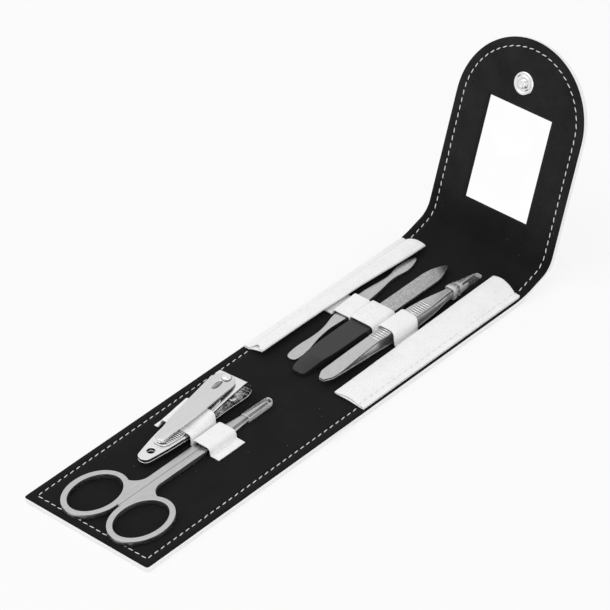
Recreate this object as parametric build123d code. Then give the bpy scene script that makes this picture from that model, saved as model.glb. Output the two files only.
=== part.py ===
from build123d import *
from math import cos, hypot, radians, sin, tan
import os

# Tri-fold manicure case, open, with its tools in their loops.
# X runs across the case, Y from the free end of the lower panel towards the flap, Z up.
# Everything is drawn in a panel's own flat frame, whose z = 0 is the top of the lining.
# Lengths are in millimetres, angles in degrees.

# ---- case: driving dimensions ----
case_width = 63.0
panel_length = 100.0
interior_height = 13.0
cover_skin = 0.8
board_thickness = 1.2
lining_thickness = 0.8
free_end_gap = 0.4
corner_radius = 1.2
flap_length = 83.8
spine_slope = 17.0
flap_angle = 68.8

# ---- mirror window and snap fastener on the flap ----
window_width = 31.0
window_height = 43.2
window_start = 12.6
mirror_overlap = 1.5
mirror_thickness = 0.8
snap_offset = -1.2
snap_reach = 65.8
stud_base_radius = 4.7
stud_base_thickness = 0.5
stud_radius = 1.9
stud_neck_radius = 1.5
stud_rise = 1.9
snap_post_radius = 1.2
cap_radius = 5.8
cap_rise = 1.5
socket_radius = 5.0
socket_depth = 1.7
snap_fit = 0.1

# ---- gussets along the middle panel ----
gusset_start = 6.4
gusset_end_margin = 1.1
gusset_hem = 3.6
gusset_layer = 0.7
left_gusset_reach = 8.2
right_gusset_reach = 11.2
left_gusset_rise = 4.0
right_gusset_rise = 4.2

# ---- straps ----
strap_thickness = 0.7
strap_shoulder = 0.5
tool_clearance = 0.3
lower_strap_start = 61.2
lower_strap_width = 14.4
lower_strap_left = -23.4
lower_strap_right = 9.8
middle_strap_start = 43.6
middle_strap_width = 13.4
middle_strap_left = -22.6
middle_strap_right = 19.0
lining_gap = 0.1
running_gap = 0.05

# ---- scissors ----
scissors_x = 0.9
scissors_pivot_y = 68.2
scissors_thickness = 2.2
ring_offset = 11.7
ring_y = 16.6
ring_half_width = 9.9
ring_half_length = 13.2
ring_wire = 2.3
shank_left = 3.0
shank_right = 3.0
shank_gap = 0.12
blade_tip_y = 97.4
boss_radius = 2.6
blade_half_width = 2.4
screw_radius = 1.0
screw_head_radius = 1.7
screw_head_rise = 0.6
scissors_swing = 5.0
sleeve_start = 85.5
sleeve_end = 99.2
sleeve_wall = 0.5
sleeve_room_half_width = 1.75

# ---- nail clipper ----
clipper_tail_x = -10.2
clipper_tail_y = 40.3
clipper_heading = 4.2
clipper_length = 58.4
arm_thickness = 1.1
arm_half_width = 6.0
jaw_half_width = 6.6
tail_half_width = 2.9
bend_v = 22.0
arm_spread = 1.3
upper_arm_rise = 4.2
tail_gap = 0.35
jaw_gap = 1.0
jaw_run = 3.4
jaw_edge = 0.5
chain_hole_radius = 1.6
chain_hole_v = 6.0
rivet_v = 12.4
rivet_radius = 1.1
rivet_head_radius = 1.7
rivet_head_rise = 0.5
file_plate_thickness = 0.6
file_plate_length = 32.0
file_plate_margin = 0.9
pin_v = 51.4
pin_radius = 1.1
pin_flange_radius = 2.0
pin_flange_rise = 0.5
pin_head_rise = 0.7
pin_hole_clearance = 0.4
lever_thickness = 1.0
lever_clearance = 0.65
lever_pitch = 3.5
lever_tip_v = 10.6
lever_half_width = 5.6
lever_waist_half_width = 3.7
lever_tip_half_width = 1.9
lever_bar_radius = 0.5
lever_slot_half_width = 1.45
lever_hole_radius = 1.1
lever_hole_length = 4.4

# ---- cuticle tool ----
cuticle_x = -11.4
cuticle_y = 11.6
cuticle_heading = 4.0
cuticle_length = 79.4
cuticle_thickness = 2.2
cuticle_half_width = 2.9
cuticle_waist_half_width = 1.3
spoon_half_width = 2.7
pusher_half_width = 2.5

# ---- nail file ----
file_x = -3.3
file_y = 6.4
file_length = 88.6
file_handle_length = 46.0
file_handle_half_width = 5.0
file_handle_end_half_width = 3.4
file_handle_thickness = 3.2
file_blade_half_width = 3.8
file_blade_thickness = 1.0
file_tang_length = 14.0
file_point_run = 11.0

# ---- tweezers ----
tweezers_x = 8.5
tweezers_y = 7.2
tweezers_heading = -1.5
tweezers_length = 84.0
tweezers_arm_thickness = 1.1
tweezers_half_width = 3.1
tweezers_tip_half_width = 1.4
tweezers_height = 6.2
tweezers_root = 9.0
tweezers_belly = 34.0
tweezers_tip_gap = 1.2
tweezers_taper_start = 52.0
tip_cap_start = 73.5
tip_cap_end = 90.6
tip_cap_wall = 0.5

# ---- sizes that follow ----
closing_gap = stud_base_thickness + snap_fit
gusset_hem_thickness = 2 * gusset_layer
gusset_floor = strap_thickness + lining_gap
panel_thickness = cover_skin + board_thickness + lining_thickness
lower_length = panel_length - free_end_gap
lower_spine_length = interior_height
flap_spine_length = interior_height + panel_thickness + closing_gap
spine_thickness = cover_skin + lining_thickness
middle_y = lower_length + lower_spine_length
flap_spine_y = middle_y + panel_length
flap_fold_y = flap_spine_y + flap_spine_length * cos(radians(spine_slope))
flap_fold_z = flap_spine_length * sin(radians(spine_slope))
flap_turn = flap_angle - spine_slope
case_depth = (flap_fold_y + flap_length * cos(radians(flap_angle))
              + panel_thickness * sin(radians(flap_angle)))
origin_y = case_depth / 2
socket_y = lower_length - (panel_length - snap_reach)

# frames: each is a panel's own flat frame placed in the open case
lower_frame = Pos(0, -origin_y, panel_thickness)
lower_spine_frame = Pos(0, lower_length - origin_y, panel_thickness)
middle_frame = Pos(0, middle_y - origin_y, panel_thickness)
flap_spine_frame = Pos(0, flap_spine_y - origin_y, panel_thickness) * Rot(spine_slope, 0, 0)
flap_frame = (Pos(0, flap_fold_y - origin_y, panel_thickness + flap_fold_z)
              * Rot(flap_angle, 0, 0))


def save(name, shape):
    export_step(shape, f"parts/{name}.step")


def block(x0, x1, y0, y1, z0, z1):
    """A box given by its limits."""
    return Pos((x0 + x1) / 2, (y0 + y1) / 2, (z0 + z1) / 2) * Box(x1 - x0, y1 - y0, z1 - z0)


def plate(face, z0, z1):
    """A flat outline between two heights."""
    return extrude(Pos(0, 0, z0) * face, amount=z1 - z0, dir=(0, 0, 1))


def filled(lines):
    """The face inside closed lines, always facing up."""
    face = make_face(lines).face()
    return face if face.normal_at().Z > 0 else -face


def rod(x, y, z0, z1, radius):
    """An upright cylinder between two heights."""
    return Pos(x, y, (z0 + z1) / 2) * Cylinder(radius, z1 - z0)


def across(points, half_width):
    """A profile in the Y-Z plane carried evenly to both sides of x = 0."""
    profile = Plane.YZ * Polygon(*points, align=None)
    return extrude(profile, amount=half_width, both=True)


# ---- panels ----

def rectangle_outline(length, inset):
    """A panel's outline, drawn in by an inset."""
    width = case_width - 2 * inset
    face = Pos(0, length / 2) * Rectangle(width, length - 2 * inset)
    return fillet(face.vertices(), corner_radius)


def flap_outline(inset):
    """The flap: straight sides and a half-round end."""
    radius = case_width / 2 - inset
    straight = flap_length - case_width / 2
    sides = Pos(0, (straight + inset) / 2) * Rectangle(2 * radius, straight - inset)
    return sides + Pos(0, straight) * Circle(radius)


def make_panel(outer, inner):
    """Cover tray, board and lining of one stiff panel."""
    cover = plate(outer, -panel_thickness, -lining_thickness)
    cover -= plate(inner, -panel_thickness + cover_skin, -lining_thickness)
    board = plate(inner, -lining_thickness - board_thickness, -lining_thickness)
    lining = plate(outer, -lining_thickness, 0)
    return cover, board, lining


def make_spine(length):
    """The two soft layers that a fold is made in."""
    half = case_width / 2
    cover = block(-half, half, 0, length, -spine_thickness, -lining_thickness)
    lining = block(-half, half, 0, length, -lining_thickness, 0)
    return cover, lining


def write_case():
    inner_lower = rectangle_outline(lower_length, cover_skin)
    cover, board, lining = make_panel(rectangle_outline(lower_length, 0), inner_lower)
    recess = rod(snap_offset, socket_y, -panel_thickness, -panel_thickness + socket_depth,
                 socket_radius)
    save("lower_cover", lower_frame * (cover - recess))
    save("lower_board", lower_frame * (board - recess))
    save("lower_lining", lower_frame * lining)

    cover, board, lining = make_panel(rectangle_outline(panel_length, 0),
                                      rectangle_outline(panel_length, cover_skin))
    save("middle_cover", middle_frame * cover)
    save("middle_board", middle_frame * board)
    save("middle_lining", middle_frame * lining)

    for name, frame, length in (("lower_spine", lower_spine_frame, lower_spine_length),
                                ("flap_spine", flap_spine_frame, flap_spine_length)):
        cover, lining = make_spine(length)
        save(f"{name}_cover", frame * cover)
        save(f"{name}_lining", frame * lining)


def write_flap():
    cover, board, lining = make_panel(flap_outline(0), flap_outline(cover_skin))
    half = window_width / 2
    window_end = window_start + window_height
    window = block(-half, half, window_start, window_end, -lining_thickness, 0)
    mirror_top = -lining_thickness
    mirror = block(-half - mirror_overlap, half + mirror_overlap,
                   window_start - mirror_overlap, window_end + mirror_overlap,
                   mirror_top - mirror_thickness, mirror_top)
    post = rod(snap_offset, snap_reach, -panel_thickness, 0, snap_post_radius)
    save("flap_cover", flap_frame * (cover - post))
    save("flap_board", flap_frame * (board - mirror - post))
    save("flap_lining", flap_frame * (lining - window - post))
    save("mirror", flap_frame * mirror)

    stud = rod(snap_offset, snap_reach, 0, stud_base_thickness, stud_base_radius)
    stud += rod(snap_offset, snap_reach, 0, stud_rise, stud_neck_radius)
    stud += rod(snap_offset, snap_reach, (stud_base_thickness + stud_rise) / 2, stud_rise,
                stud_radius)
    save("snap_stud", flap_frame * stud)

    dome_radius = (cap_radius ** 2 + cap_rise ** 2) / (2 * cap_rise)
    dome = Pos(snap_offset, snap_reach, -panel_thickness - cap_rise + dome_radius) * Sphere(dome_radius)
    dome &= rod(snap_offset, snap_reach, -panel_thickness - cap_rise, -panel_thickness, cap_radius)
    save("snap_cap", flap_frame * (dome + post))


def write_socket():
    """The sprung ring sunk in the back of the lower panel."""
    base = -panel_thickness
    socket = rod(snap_offset, socket_y, base, base + socket_depth, socket_radius)
    mouth = rod(snap_offset, socket_y, base, base + stud_rise - closing_gap + snap_fit,
                stud_radius + snap_fit)
    save("snap_socket", lower_frame * (socket - mouth))


# ---- gussets ----

def write_gusset(side, name, reach, rise):
    """A folded strip: its hem is stitched down along the edge, its wing arches inwards."""
    y0 = gusset_start
    y1 = panel_length - gusset_end_margin
    edge = side * case_width / 2
    stitch = edge - side * gusset_hem
    hem = block(min(edge, stitch), max(edge, stitch), y0, y1, 0, gusset_hem_thickness)
    save(f"{name}_hem", middle_frame * hem)

    fold = stitch - side * reach
    fold_top = gusset_floor + gusset_layer
    outline = Polyline((fold, fold_top), (fold, gusset_floor), (stitch, gusset_floor),
                       (stitch, gusset_hem_thickness))
    crown = ThreePointArc((stitch, gusset_hem_thickness), (stitch - side * 0.45 * reach, rise),
                          (fold, fold_top))
    section = Plane.XZ * make_face(outline + crown)
    save(f"{name}_wing", middle_frame * (Pos(0, y1, 0) * extrude(section, amount=y1 - y0)))


# ---- straps ----

def loop_prism(x0, x1, near, far, y0, width):
    """A tunnel with cut shoulders, whose top may rise from one edge of the strap to the other."""
    ends = []
    for y, top in ((y0, near), (y0 + width, far)):
        outline = Polygon((x0, 0), (x1, 0), (x1, top - strap_shoulder), (x1 - strap_shoulder, top),
                          (x0 + strap_shoulder, top), (x0, top - strap_shoulder), align=None)
        ends.append((Pos(0, y, 0) * (Plane.XZ * outline)).face())
    return loft(ends, ruled=True)


def make_strap(left, right, loops, y0, width):
    """One strip, flat between its loops; each loop is (left, right, near and far inner height)."""
    wall = strap_thickness
    band = block(left, right, y0, y0 + width, 0, wall)
    for x0, x1, near, far in loops:
        band += loop_prism(x0 - wall, x1 + wall, near + wall, far + wall, y0, width)
    for x0, x1, near, far in loops:
        band -= loop_prism(x0, x1, near, far, y0, width)
    return band


def loop_around(x, half_width, height):
    top = height + tool_clearance
    return (x - half_width - tool_clearance, x + half_width + tool_clearance, top, top)


# ---- scissors ----

scissors_base = lining_gap
scissors_split = scissors_base + scissors_thickness / 2
scissors_top = scissors_base + scissors_thickness
scissors_frame = lower_frame * Pos(scissors_x, 0, 0)
loop_half = lower_strap_width / 2
swing_room = (loop_half + abs(lower_strap_start + loop_half - scissors_pivot_y)) * sin(
    radians(scissors_swing))
scissors_loop_half_width = max(shank_left, shank_right) + swing_room


def make_half(side, shank, z0, z1):
    """One scissor half: ring, shank and a blade on the other side of the pivot."""
    ring = Ellipse(ring_half_width + ring_wire / 2, ring_half_length + ring_wire / 2)
    hole = Ellipse(ring_half_width - ring_wire / 2, ring_half_length - ring_wire / 2)
    place = Pos(side * ring_offset, ring_y)
    crotch = ring_y + ring_half_length + ring_wire
    gap = side * shank_gap / 2
    waist = scissors_pivot_y - loop_half
    web = Polyline((gap, ring_y), (gap, waist), (side * shank, waist),
                   (side * shank, crotch + 4.5))
    web += ThreePointArc((side * shank, crotch + 4.5), (side * (shank + 1.1), crotch + 0.3),
                         (side * ring_half_width * 0.75, crotch - ring_wire))
    web += Polyline((side * ring_half_width * 0.75, crotch - ring_wire), (gap, ring_y))
    handle = place * ring + filled(web) - place * hole
    keep = Pos(side * (case_width / 4 + gap / side), case_width / 4) * Rectangle(
        case_width / 2, case_width * 2)
    solid = plate(handle & keep, scissors_base, scissors_top)

    neck = Polygon((gap, waist), (side * shank, waist), (side * boss_radius, scissors_pivot_y),
                   (-side * boss_radius, scissors_pivot_y), align=None)
    blade = Polygon((side * boss_radius * 0.6, scissors_pivot_y),
                    (-side * boss_radius, scissors_pivot_y),
                    (-side * blade_half_width, scissors_pivot_y + loop_half + 2.0),
                    (-side * 0.35, blade_tip_y), (side * 0.15, blade_tip_y - 0.6),
                    (side * 0.9, scissors_pivot_y + loop_half), align=None)
    boss = Pos(0, scissors_pivot_y) * Circle(boss_radius)
    solid += plate(neck + blade + boss, z0, z1)
    return solid - rod(0, scissors_pivot_y, z0, z1, screw_radius + running_gap)


def write_scissors():
    gap = running_gap / 2
    left = make_half(-1, shank_left, scissors_base, scissors_split - gap)
    right = make_half(1, shank_right, scissors_split + gap, scissors_top)
    save("scissors_left_half", scissors_frame * left)
    save("scissors_right_half", scissors_frame * right)
    screw = rod(0, scissors_pivot_y, scissors_base, scissors_top + running_gap, screw_radius)
    screw += rod(0, scissors_pivot_y, scissors_top + running_gap,
                 scissors_top + running_gap + screw_head_rise, screw_head_radius)
    save("scissors_screw", scissors_frame * screw)

    half = sleeve_room_half_width + sleeve_wall
    low = scissors_base - lining_gap + 0.02
    high = scissors_top + running_gap + sleeve_wall
    tube = block(-half, half, sleeve_start, sleeve_end, low, high)
    tube = fillet(tube.edges().filter_by(Axis.Y), sleeve_wall)
    room = block(-half + sleeve_wall, half - sleeve_wall, sleeve_start, sleeve_end,
                 scissors_base - running_gap, scissors_top + running_gap)
    save("scissors_sleeve", scissors_frame * (tube - room))


# ---- nail clipper: its own frame has y along it from the tail, z up ----

clipper_frame = lower_frame * Pos(clipper_tail_x, clipper_tail_y, 0) * Rot(0, 0, clipper_heading)
clipper_base = lining_gap
lower_arm_tail = clipper_base + arm_spread
upper_arm_tail = lower_arm_tail + arm_thickness + tail_gap
upper_arm_top = upper_arm_tail + arm_thickness + upper_arm_rise
file_plate_base = upper_arm_tail + arm_thickness + running_gap
jaw_start = clipper_length - jaw_run
lever_base = upper_arm_top + lever_clearance
lever_axis_z = lever_base + lever_thickness / 2
bar_swing = hypot(lever_bar_radius, lever_thickness / 2) + running_gap
lever_axis_v = pin_v + pin_radius + bar_swing
pin_top = lever_axis_z + bar_swing + pin_head_rise
jaw_middle = (lower_arm_tail + upper_arm_tail + arm_thickness) / 2


def arm_outline(jaw_margin):
    """An arm seen from above: rounded tail, long body, slightly flared jaws."""
    end = clipper_length - jaw_margin
    body = Polygon((-tail_half_width, tail_half_width), (tail_half_width, tail_half_width),
                   (arm_half_width, bend_v), (jaw_half_width, end),
                   (-jaw_half_width, end), (-arm_half_width, bend_v), align=None)
    return body + Pos(0, tail_half_width) * Circle(tail_half_width)


def climb(v, rise):
    """How far an arm has bent away from the tail's level at v."""
    return rise * max(0.0, v - bend_v) / (jaw_start - bend_v)


def arm_profile(tail, thickness, end_v, rise):
    """An arm seen from the side: level at the tail, then straight out to the jaws."""
    out = tail + climb(end_v, rise)
    return [(0, tail), (bend_v, tail), (end_v, out), (end_v, out + thickness),
            (bend_v, tail + thickness), (0, tail + thickness)]


def make_arm(way, tail, rise):
    """A stamped arm whose jaw turns in towards the other arm; way is +1 up or -1 down."""
    wide = case_width / 2
    arm = across(arm_profile(tail, arm_thickness, jaw_start, rise), wide)
    out = tail + rise
    edge = jaw_middle + way * jaw_gap / 2
    inner = out if way > 0 else out + arm_thickness
    outer = out + arm_thickness if way > 0 else out
    jaw = [(jaw_start, inner), (jaw_start, outer), (clipper_length - jaw_edge, edge + way * 1.1),
           (clipper_length, edge), (clipper_length - 2 * jaw_edge, edge)]
    arm += across(jaw, wide)
    arm &= plate(arm_outline(0), clipper_base - 1, lever_base)
    arm -= rod(0, chain_hole_v, clipper_base - 1, lever_base, chain_hole_radius)
    arm -= rod(0, pin_v, clipper_base - 1, lever_base, pin_radius + pin_hole_clearance)
    return arm - rod(0, rivet_v, clipper_base - 1, lever_base, rivet_radius + running_gap)


def write_clipper():
    lower_arm = make_arm(-1, lower_arm_tail, -arm_spread)
    lower_arm -= rod(0, pin_v, clipper_base - 1, clipper_base + pin_flange_rise + running_gap,
                     pin_flange_radius + running_gap)
    save("clipper_lower_arm", clipper_frame * lower_arm)
    save("clipper_upper_arm", clipper_frame * make_arm(1, upper_arm_tail, upper_arm_rise))

    plate_end = rivet_v + file_plate_length
    tail = file_plate_base
    strip = across(arm_profile(tail, file_plate_thickness, plate_end, upper_arm_rise),
                   case_width / 2)
    strip &= plate(offset(arm_outline(0), -file_plate_margin), tail, lever_base)
    strip -= block(-case_width, case_width, -1, rivet_v - rivet_head_radius - 1, 0, lever_base)
    strip -= rod(0, rivet_v, tail, lever_base, rivet_radius + running_gap)
    save("clipper_file", clipper_frame * strip)

    head = tail + file_plate_thickness + running_gap
    rivet = rod(0, rivet_v, lower_arm_tail, head, rivet_radius)
    rivet += rod(0, rivet_v, head, head + rivet_head_rise, rivet_head_radius)
    rivet += rod(0, rivet_v, lower_arm_tail - rivet_head_rise, lower_arm_tail, rivet_head_radius)
    save("clipper_rivet", clipper_frame * rivet)

    pin = rod(0, pin_v, clipper_base, pin_top, pin_radius)
    pin += rod(0, pin_v, clipper_base, clipper_base + pin_flange_rise, pin_flange_radius)
    pin += block(-pin_radius, pin_radius, pin_v, lever_axis_v + lever_bar_radius,
                 pin_top - pin_head_rise, pin_top)
    save("clipper_pin", clipper_frame * pin)
    save("clipper_lever", clipper_frame * make_lever())


def make_lever():
    """The lever, folded flat over the arms and hooked under the pin's head by its end bar."""
    slot_end = lever_axis_v - 3.6
    round_centre = lever_axis_v - lever_half_width + lever_bar_radius
    outline = Polygon((-lever_tip_half_width, lever_tip_v), (lever_tip_half_width, lever_tip_v),
                      (lever_waist_half_width, bend_v), (lever_half_width, round_centre),
                      (-lever_half_width, round_centre), (-lever_waist_half_width, bend_v),
                      align=None)
    outline += Pos(0, round_centre) * Circle(lever_half_width)
    outline -= Pos(0, (slot_end + lever_axis_v - lever_bar_radius) / 2) * Rectangle(
        2 * lever_slot_half_width, lever_axis_v - lever_bar_radius - slot_end)
    hole_v = slot_end - 1.4 - lever_hole_length / 2
    outline -= Pos(0, hole_v) * SlotOverall(lever_hole_length, 2 * lever_hole_radius, rotation=90)
    level = plate(outline, -lever_thickness / 2, lever_thickness / 2)
    return (Pos(0, lever_axis_v, lever_axis_z) * Rot(lever_pitch, 0, 0)
            * Pos(0, -lever_axis_v, 0) * level)


# ---- cuticle tool ----

cuticle_frame = middle_frame * Pos(cuticle_x, cuticle_y, 0) * Rot(0, 0, cuticle_heading)


def write_cuticle_tool():
    """A flat spoon end, a broad grip between two waists and a pointed pusher end."""
    length = cuticle_length
    stations = ((0.0, 0.5 * spoon_half_width), (1.8, spoon_half_width),
                (0.11 * length, spoon_half_width), (0.24 * length, cuticle_waist_half_width),
                (0.42 * length, cuticle_half_width), (0.60 * length, cuticle_half_width),
                (0.73 * length, cuticle_waist_half_width), (0.88 * length, pusher_half_width),
                (length, 0.4))
    right = [(w, y) for y, w in stations]
    left = [(-w, y) for y, w in reversed(stations)]
    body = plate(Polygon(*right, *left, align=None), lining_gap, lining_gap + cuticle_thickness)
    half = 0.5 * cuticle_thickness
    side = [(0, 0), (0, half), (0.2 * length, half), (0.4 * length, cuticle_thickness),
            (0.62 * length, cuticle_thickness), (0.8 * length, half), (length, half), (length, 0)]
    side = [(y, z + lining_gap) for y, z in side]
    save("cuticle_tool", cuticle_frame * (body & across(side, case_width / 2)))


# ---- nail file ----

file_frame = middle_frame * Pos(file_x, file_y, 0)
file_blade_base = lining_gap + (file_handle_thickness - file_blade_thickness) / 2


def write_nail_file():
    """A moulded handle over the tang of a flat, pointed steel blade."""
    end = file_handle_end_half_width
    half = file_handle_half_width
    handle = Polygon((-end, 0), (end, 0), (half, 0.35 * file_handle_length),
                     (half, file_handle_length), (-half, file_handle_length),
                     (-half, 0.35 * file_handle_length), align=None)
    solid = plate(handle, lining_gap, lining_gap + file_handle_thickness)
    solid = fillet(solid.edges().group_by(Axis.Z)[-1], 0.8)
    start = file_handle_length - file_tang_length
    shoulder = file_length - file_point_run
    blade = Polyline((-file_blade_half_width, shoulder), (-file_blade_half_width, start),
                     (file_blade_half_width, start), (file_blade_half_width, shoulder))
    for way in (1, -1):
        blade += ThreePointArc((way * file_blade_half_width, shoulder),
                               (way * 0.72 * file_blade_half_width, shoulder + 0.5 * file_point_run),
                               (0, file_length))
    top = file_blade_base + file_blade_thickness
    steel = plate(filled(blade), file_blade_base, top)
    save("nail_file_handle", file_frame * (solid - steel))
    save("nail_file_blade", file_frame * steel)


# ---- tweezers ----

tweezers_frame = middle_frame * Pos(tweezers_x, tweezers_y, 0) * Rot(0, 0, tweezers_heading)
tweezers_mid = lining_gap + tweezers_height / 2


def make_tweezers_arm(way):
    """One sprung arm: straight root, bowed belly and a tip that comes back in."""
    t = tweezers_arm_thickness
    root = running_gap / 2
    belly = tweezers_height / 2 - t
    tip = tweezers_tip_gap / 2
    inner = [(0, root), (tweezers_root, root), (tweezers_belly, belly),
             (tweezers_taper_start, belly), (tweezers_length, tip)]
    outer = [(y, z + t) for y, z in reversed(inner)]
    side = [(y, tweezers_mid + way * z) for y, z in inner + outer]
    w = tweezers_half_width
    face = Polygon((-w + 2.2, 0), (w - 2.2, 0), (w, 3.4), (w, tweezers_taper_start),
                   (tweezers_tip_half_width, tip_cap_start), (tweezers_tip_half_width, tweezers_length),
                   (-tweezers_tip_half_width, tweezers_length),
                   (-tweezers_tip_half_width, tip_cap_start), (-w, tweezers_taper_start),
                   (-w, 3.4), align=None)
    return across(side, case_width / 2) & plate(face, 0, tweezers_height + 1)


def write_tweezers():
    save("tweezers_lower_arm", tweezers_frame * make_tweezers_arm(-1))
    save("tweezers_upper_arm", tweezers_frame * make_tweezers_arm(1))
    half = tweezers_tip_half_width + running_gap + tip_cap_wall
    run = (tip_cap_start - tweezers_taper_start) / (tweezers_length - tweezers_taper_start)
    belly = tweezers_height / 2 - tweezers_arm_thickness
    spread = belly + run * (tweezers_tip_gap / 2 - belly) + tweezers_arm_thickness
    room_half = spread + running_gap
    tube = block(-half, half, tip_cap_start, tip_cap_end, tweezers_mid - room_half - tip_cap_wall,
                 tweezers_mid + room_half + tip_cap_wall)
    room = block(-half + tip_cap_wall, half - tip_cap_wall, tip_cap_start, tip_cap_end,
                 tweezers_mid - room_half, tweezers_mid + room_half)
    save("tweezers_cap", tweezers_frame * (tube - room))


def write_straps():
    drift = (lower_strap_width / 2) * tan(radians(clipper_heading))
    mid_v = lower_strap_start + lower_strap_width / 2 - clipper_tail_y
    clipper_x = clipper_tail_x - mid_v * tan(radians(clipper_heading))
    clipper_half = arm_half_width + 0.25 + drift
    strip_top = file_plate_base + file_plate_thickness + 2 * running_gap
    near_v, far_v = (lower_strap_start + edge + 0.5 - clipper_tail_y
                     for edge in (0, lower_strap_width))
    lower_loops = ((clipper_x - clipper_half - tool_clearance,
                    clipper_x + clipper_half + tool_clearance,
                    strip_top + climb(near_v, upper_arm_rise),
                    strip_top + climb(far_v, upper_arm_rise)),
                   loop_around(scissors_x, scissors_loop_half_width,
                               scissors_top + running_gap + screw_head_rise))
    strap = make_strap(lower_strap_left, lower_strap_right, lower_loops, lower_strap_start,
                       lower_strap_width)
    save("lower_strap", lower_frame * strap)

    mid_y = middle_strap_start + middle_strap_width / 2
    lean = (middle_strap_width / 2) * tan(radians(cuticle_heading))
    cuticle_mid = cuticle_x - (mid_y - cuticle_y) * tan(radians(cuticle_heading))
    tweezers_mid_x = tweezers_x - (mid_y - tweezers_y) * tan(radians(tweezers_heading))
    tweezers_lean = (middle_strap_width / 2) * tan(radians(abs(tweezers_heading)))
    loops = (loop_around(cuticle_mid, cuticle_half_width + lean, lining_gap + cuticle_thickness),
             loop_around(file_x, file_handle_half_width, lining_gap + file_handle_thickness),
             loop_around(tweezers_mid_x, tweezers_half_width + tweezers_lean,
                         lining_gap + tweezers_height))
    strap = make_strap(middle_strap_left, middle_strap_right, loops, middle_strap_start,
                       middle_strap_width)
    save("middle_strap", middle_frame * strap)


def build():
    os.makedirs("parts", exist_ok=True)
    write_case()
    write_flap()
    write_socket()
    write_gusset(-1, "left_gusset", left_gusset_reach, left_gusset_rise)
    write_gusset(1, "right_gusset", right_gusset_reach, right_gusset_rise)
    write_scissors()
    write_clipper()
    write_cuticle_tool()
    write_nail_file()
    write_tweezers()
    write_straps()


build()
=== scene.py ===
from math import cos, exp, hypot, pi, radians, sin, tan

import bmesh
import bpy
from mathutils import Matrix, Vector, noise


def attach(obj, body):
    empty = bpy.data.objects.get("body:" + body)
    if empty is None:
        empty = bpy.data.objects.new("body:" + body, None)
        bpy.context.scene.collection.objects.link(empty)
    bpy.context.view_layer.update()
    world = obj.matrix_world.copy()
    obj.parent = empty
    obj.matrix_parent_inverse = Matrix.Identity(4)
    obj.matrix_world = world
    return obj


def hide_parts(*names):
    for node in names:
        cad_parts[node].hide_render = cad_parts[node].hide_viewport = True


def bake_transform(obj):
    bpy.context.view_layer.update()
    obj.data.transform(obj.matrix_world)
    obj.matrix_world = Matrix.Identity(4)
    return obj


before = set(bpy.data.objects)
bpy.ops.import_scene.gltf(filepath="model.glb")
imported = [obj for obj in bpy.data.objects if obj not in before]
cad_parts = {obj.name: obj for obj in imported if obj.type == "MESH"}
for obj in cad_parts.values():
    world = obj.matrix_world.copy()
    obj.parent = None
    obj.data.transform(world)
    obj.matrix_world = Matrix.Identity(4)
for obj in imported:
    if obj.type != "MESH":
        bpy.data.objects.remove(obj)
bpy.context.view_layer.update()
scene = bpy.context.scene
mm = 0.001
print("frame loaded")


# camera: a long lens, looking down on the case from its front right

cameraView = {
    "azimuth": 43.14,  # degrees
    "elevation": 36.57,
    "roll": 2.0,
    "distance": 1.5752,  # metres
    "target": (-0.03084, 0.02367, 0.0028),
    "lens": 238.04,
}


def makeCamera(view):
    az, el, roll = (radians(view[k]) for k in ("azimuth", "elevation", "roll"))
    back = Vector((cos(el) * sin(az), -cos(el) * cos(az), sin(el)))
    level = Vector((cos(az), sin(az), 0.0))
    down = (-back).cross(level)
    right = level * cos(roll) + down * sin(roll)
    up = level * sin(roll) - down * cos(roll)
    data = bpy.data.cameras.new("camera")
    data.lens = view["lens"]
    camera = bpy.data.objects.new("camera", data)
    scene.collection.objects.link(camera)
    turn = Matrix((right, up, back)).transposed().to_4x4()
    camera.matrix_world = Matrix.Translation(Vector(view["target"]) + back * view["distance"]) @ turn
    scene.camera = camera


makeCamera(cameraView)
print("camera set")


# material helpers: every pattern is read from the piece's own coordinates, in metres

def addNode(tree, kind, **settings):
    made = tree.nodes.new("ShaderNode" + kind)
    for key, value in settings.items():
        if hasattr(made, key):
            setattr(made, key, value)
        else:
            made.inputs[key.replace("_", " ")].default_value = value
    return made


def startMaterial(name, **values):
    material = bpy.data.materials.new(name)
    material.use_nodes = True
    tree = material.node_tree
    shader = tree.nodes["Principled BSDF"]
    for key, value in values.items():
        shader.inputs[key.replace("_", " ")].default_value = value
    material.diffuse_color = shader.inputs["Base Color"].default_value
    place = addNode(tree, "Mapping")
    tree.links.new(addNode(tree, "TexCoord").outputs["Object"], place.inputs["Vector"])
    return material, tree, shader, place


def pattern(tree, place, kind, output, **settings):
    made = addNode(tree, kind, **settings)
    tree.links.new(place.outputs["Vector"], made.inputs["Vector"])
    return made.outputs[output]


def ramp(tree, factor, *stops):
    made = addNode(tree, "ValToRGB")
    made.color_ramp.elements[0].position, made.color_ramp.elements[1].position = stops[0][0], stops[-1][0]
    for position, level in stops[1:-1]:
        made.color_ramp.elements.new(position)
    for element, (position, level) in zip(made.color_ramp.elements, stops):
        element.color = (level, level, level, 1) if isinstance(level, (int, float)) else (*level, 1)
    tree.links.new(factor, made.inputs["Fac"])
    return made.outputs["Color"]


def mixed(tree, factor, one, two, how="MIX"):
    made = addNode(tree, "Mix", data_type="RGBA", blend_type=how)
    for socket, value in zip((made.inputs[0], made.inputs[6], made.inputs[7]), (factor, one, two)):
        if isinstance(value, bpy.types.NodeSocket):
            tree.links.new(value, socket)
        else:
            socket.default_value = value if isinstance(value, float) else (*value, 1)
    return made.outputs[2]


def relief(tree, shader, height, depth, strength=1.0, before=None):
    made = addNode(tree, "Bump", Strength=strength, Distance=depth)
    tree.links.new(height, made.inputs["Height"])
    if before:
        tree.links.new(before, made.inputs["Normal"])
    tree.links.new(made.outputs["Normal"], shader.inputs["Normal"])
    return made.outputs["Normal"]


def grey(level):
    return (level, level, level)


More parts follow.
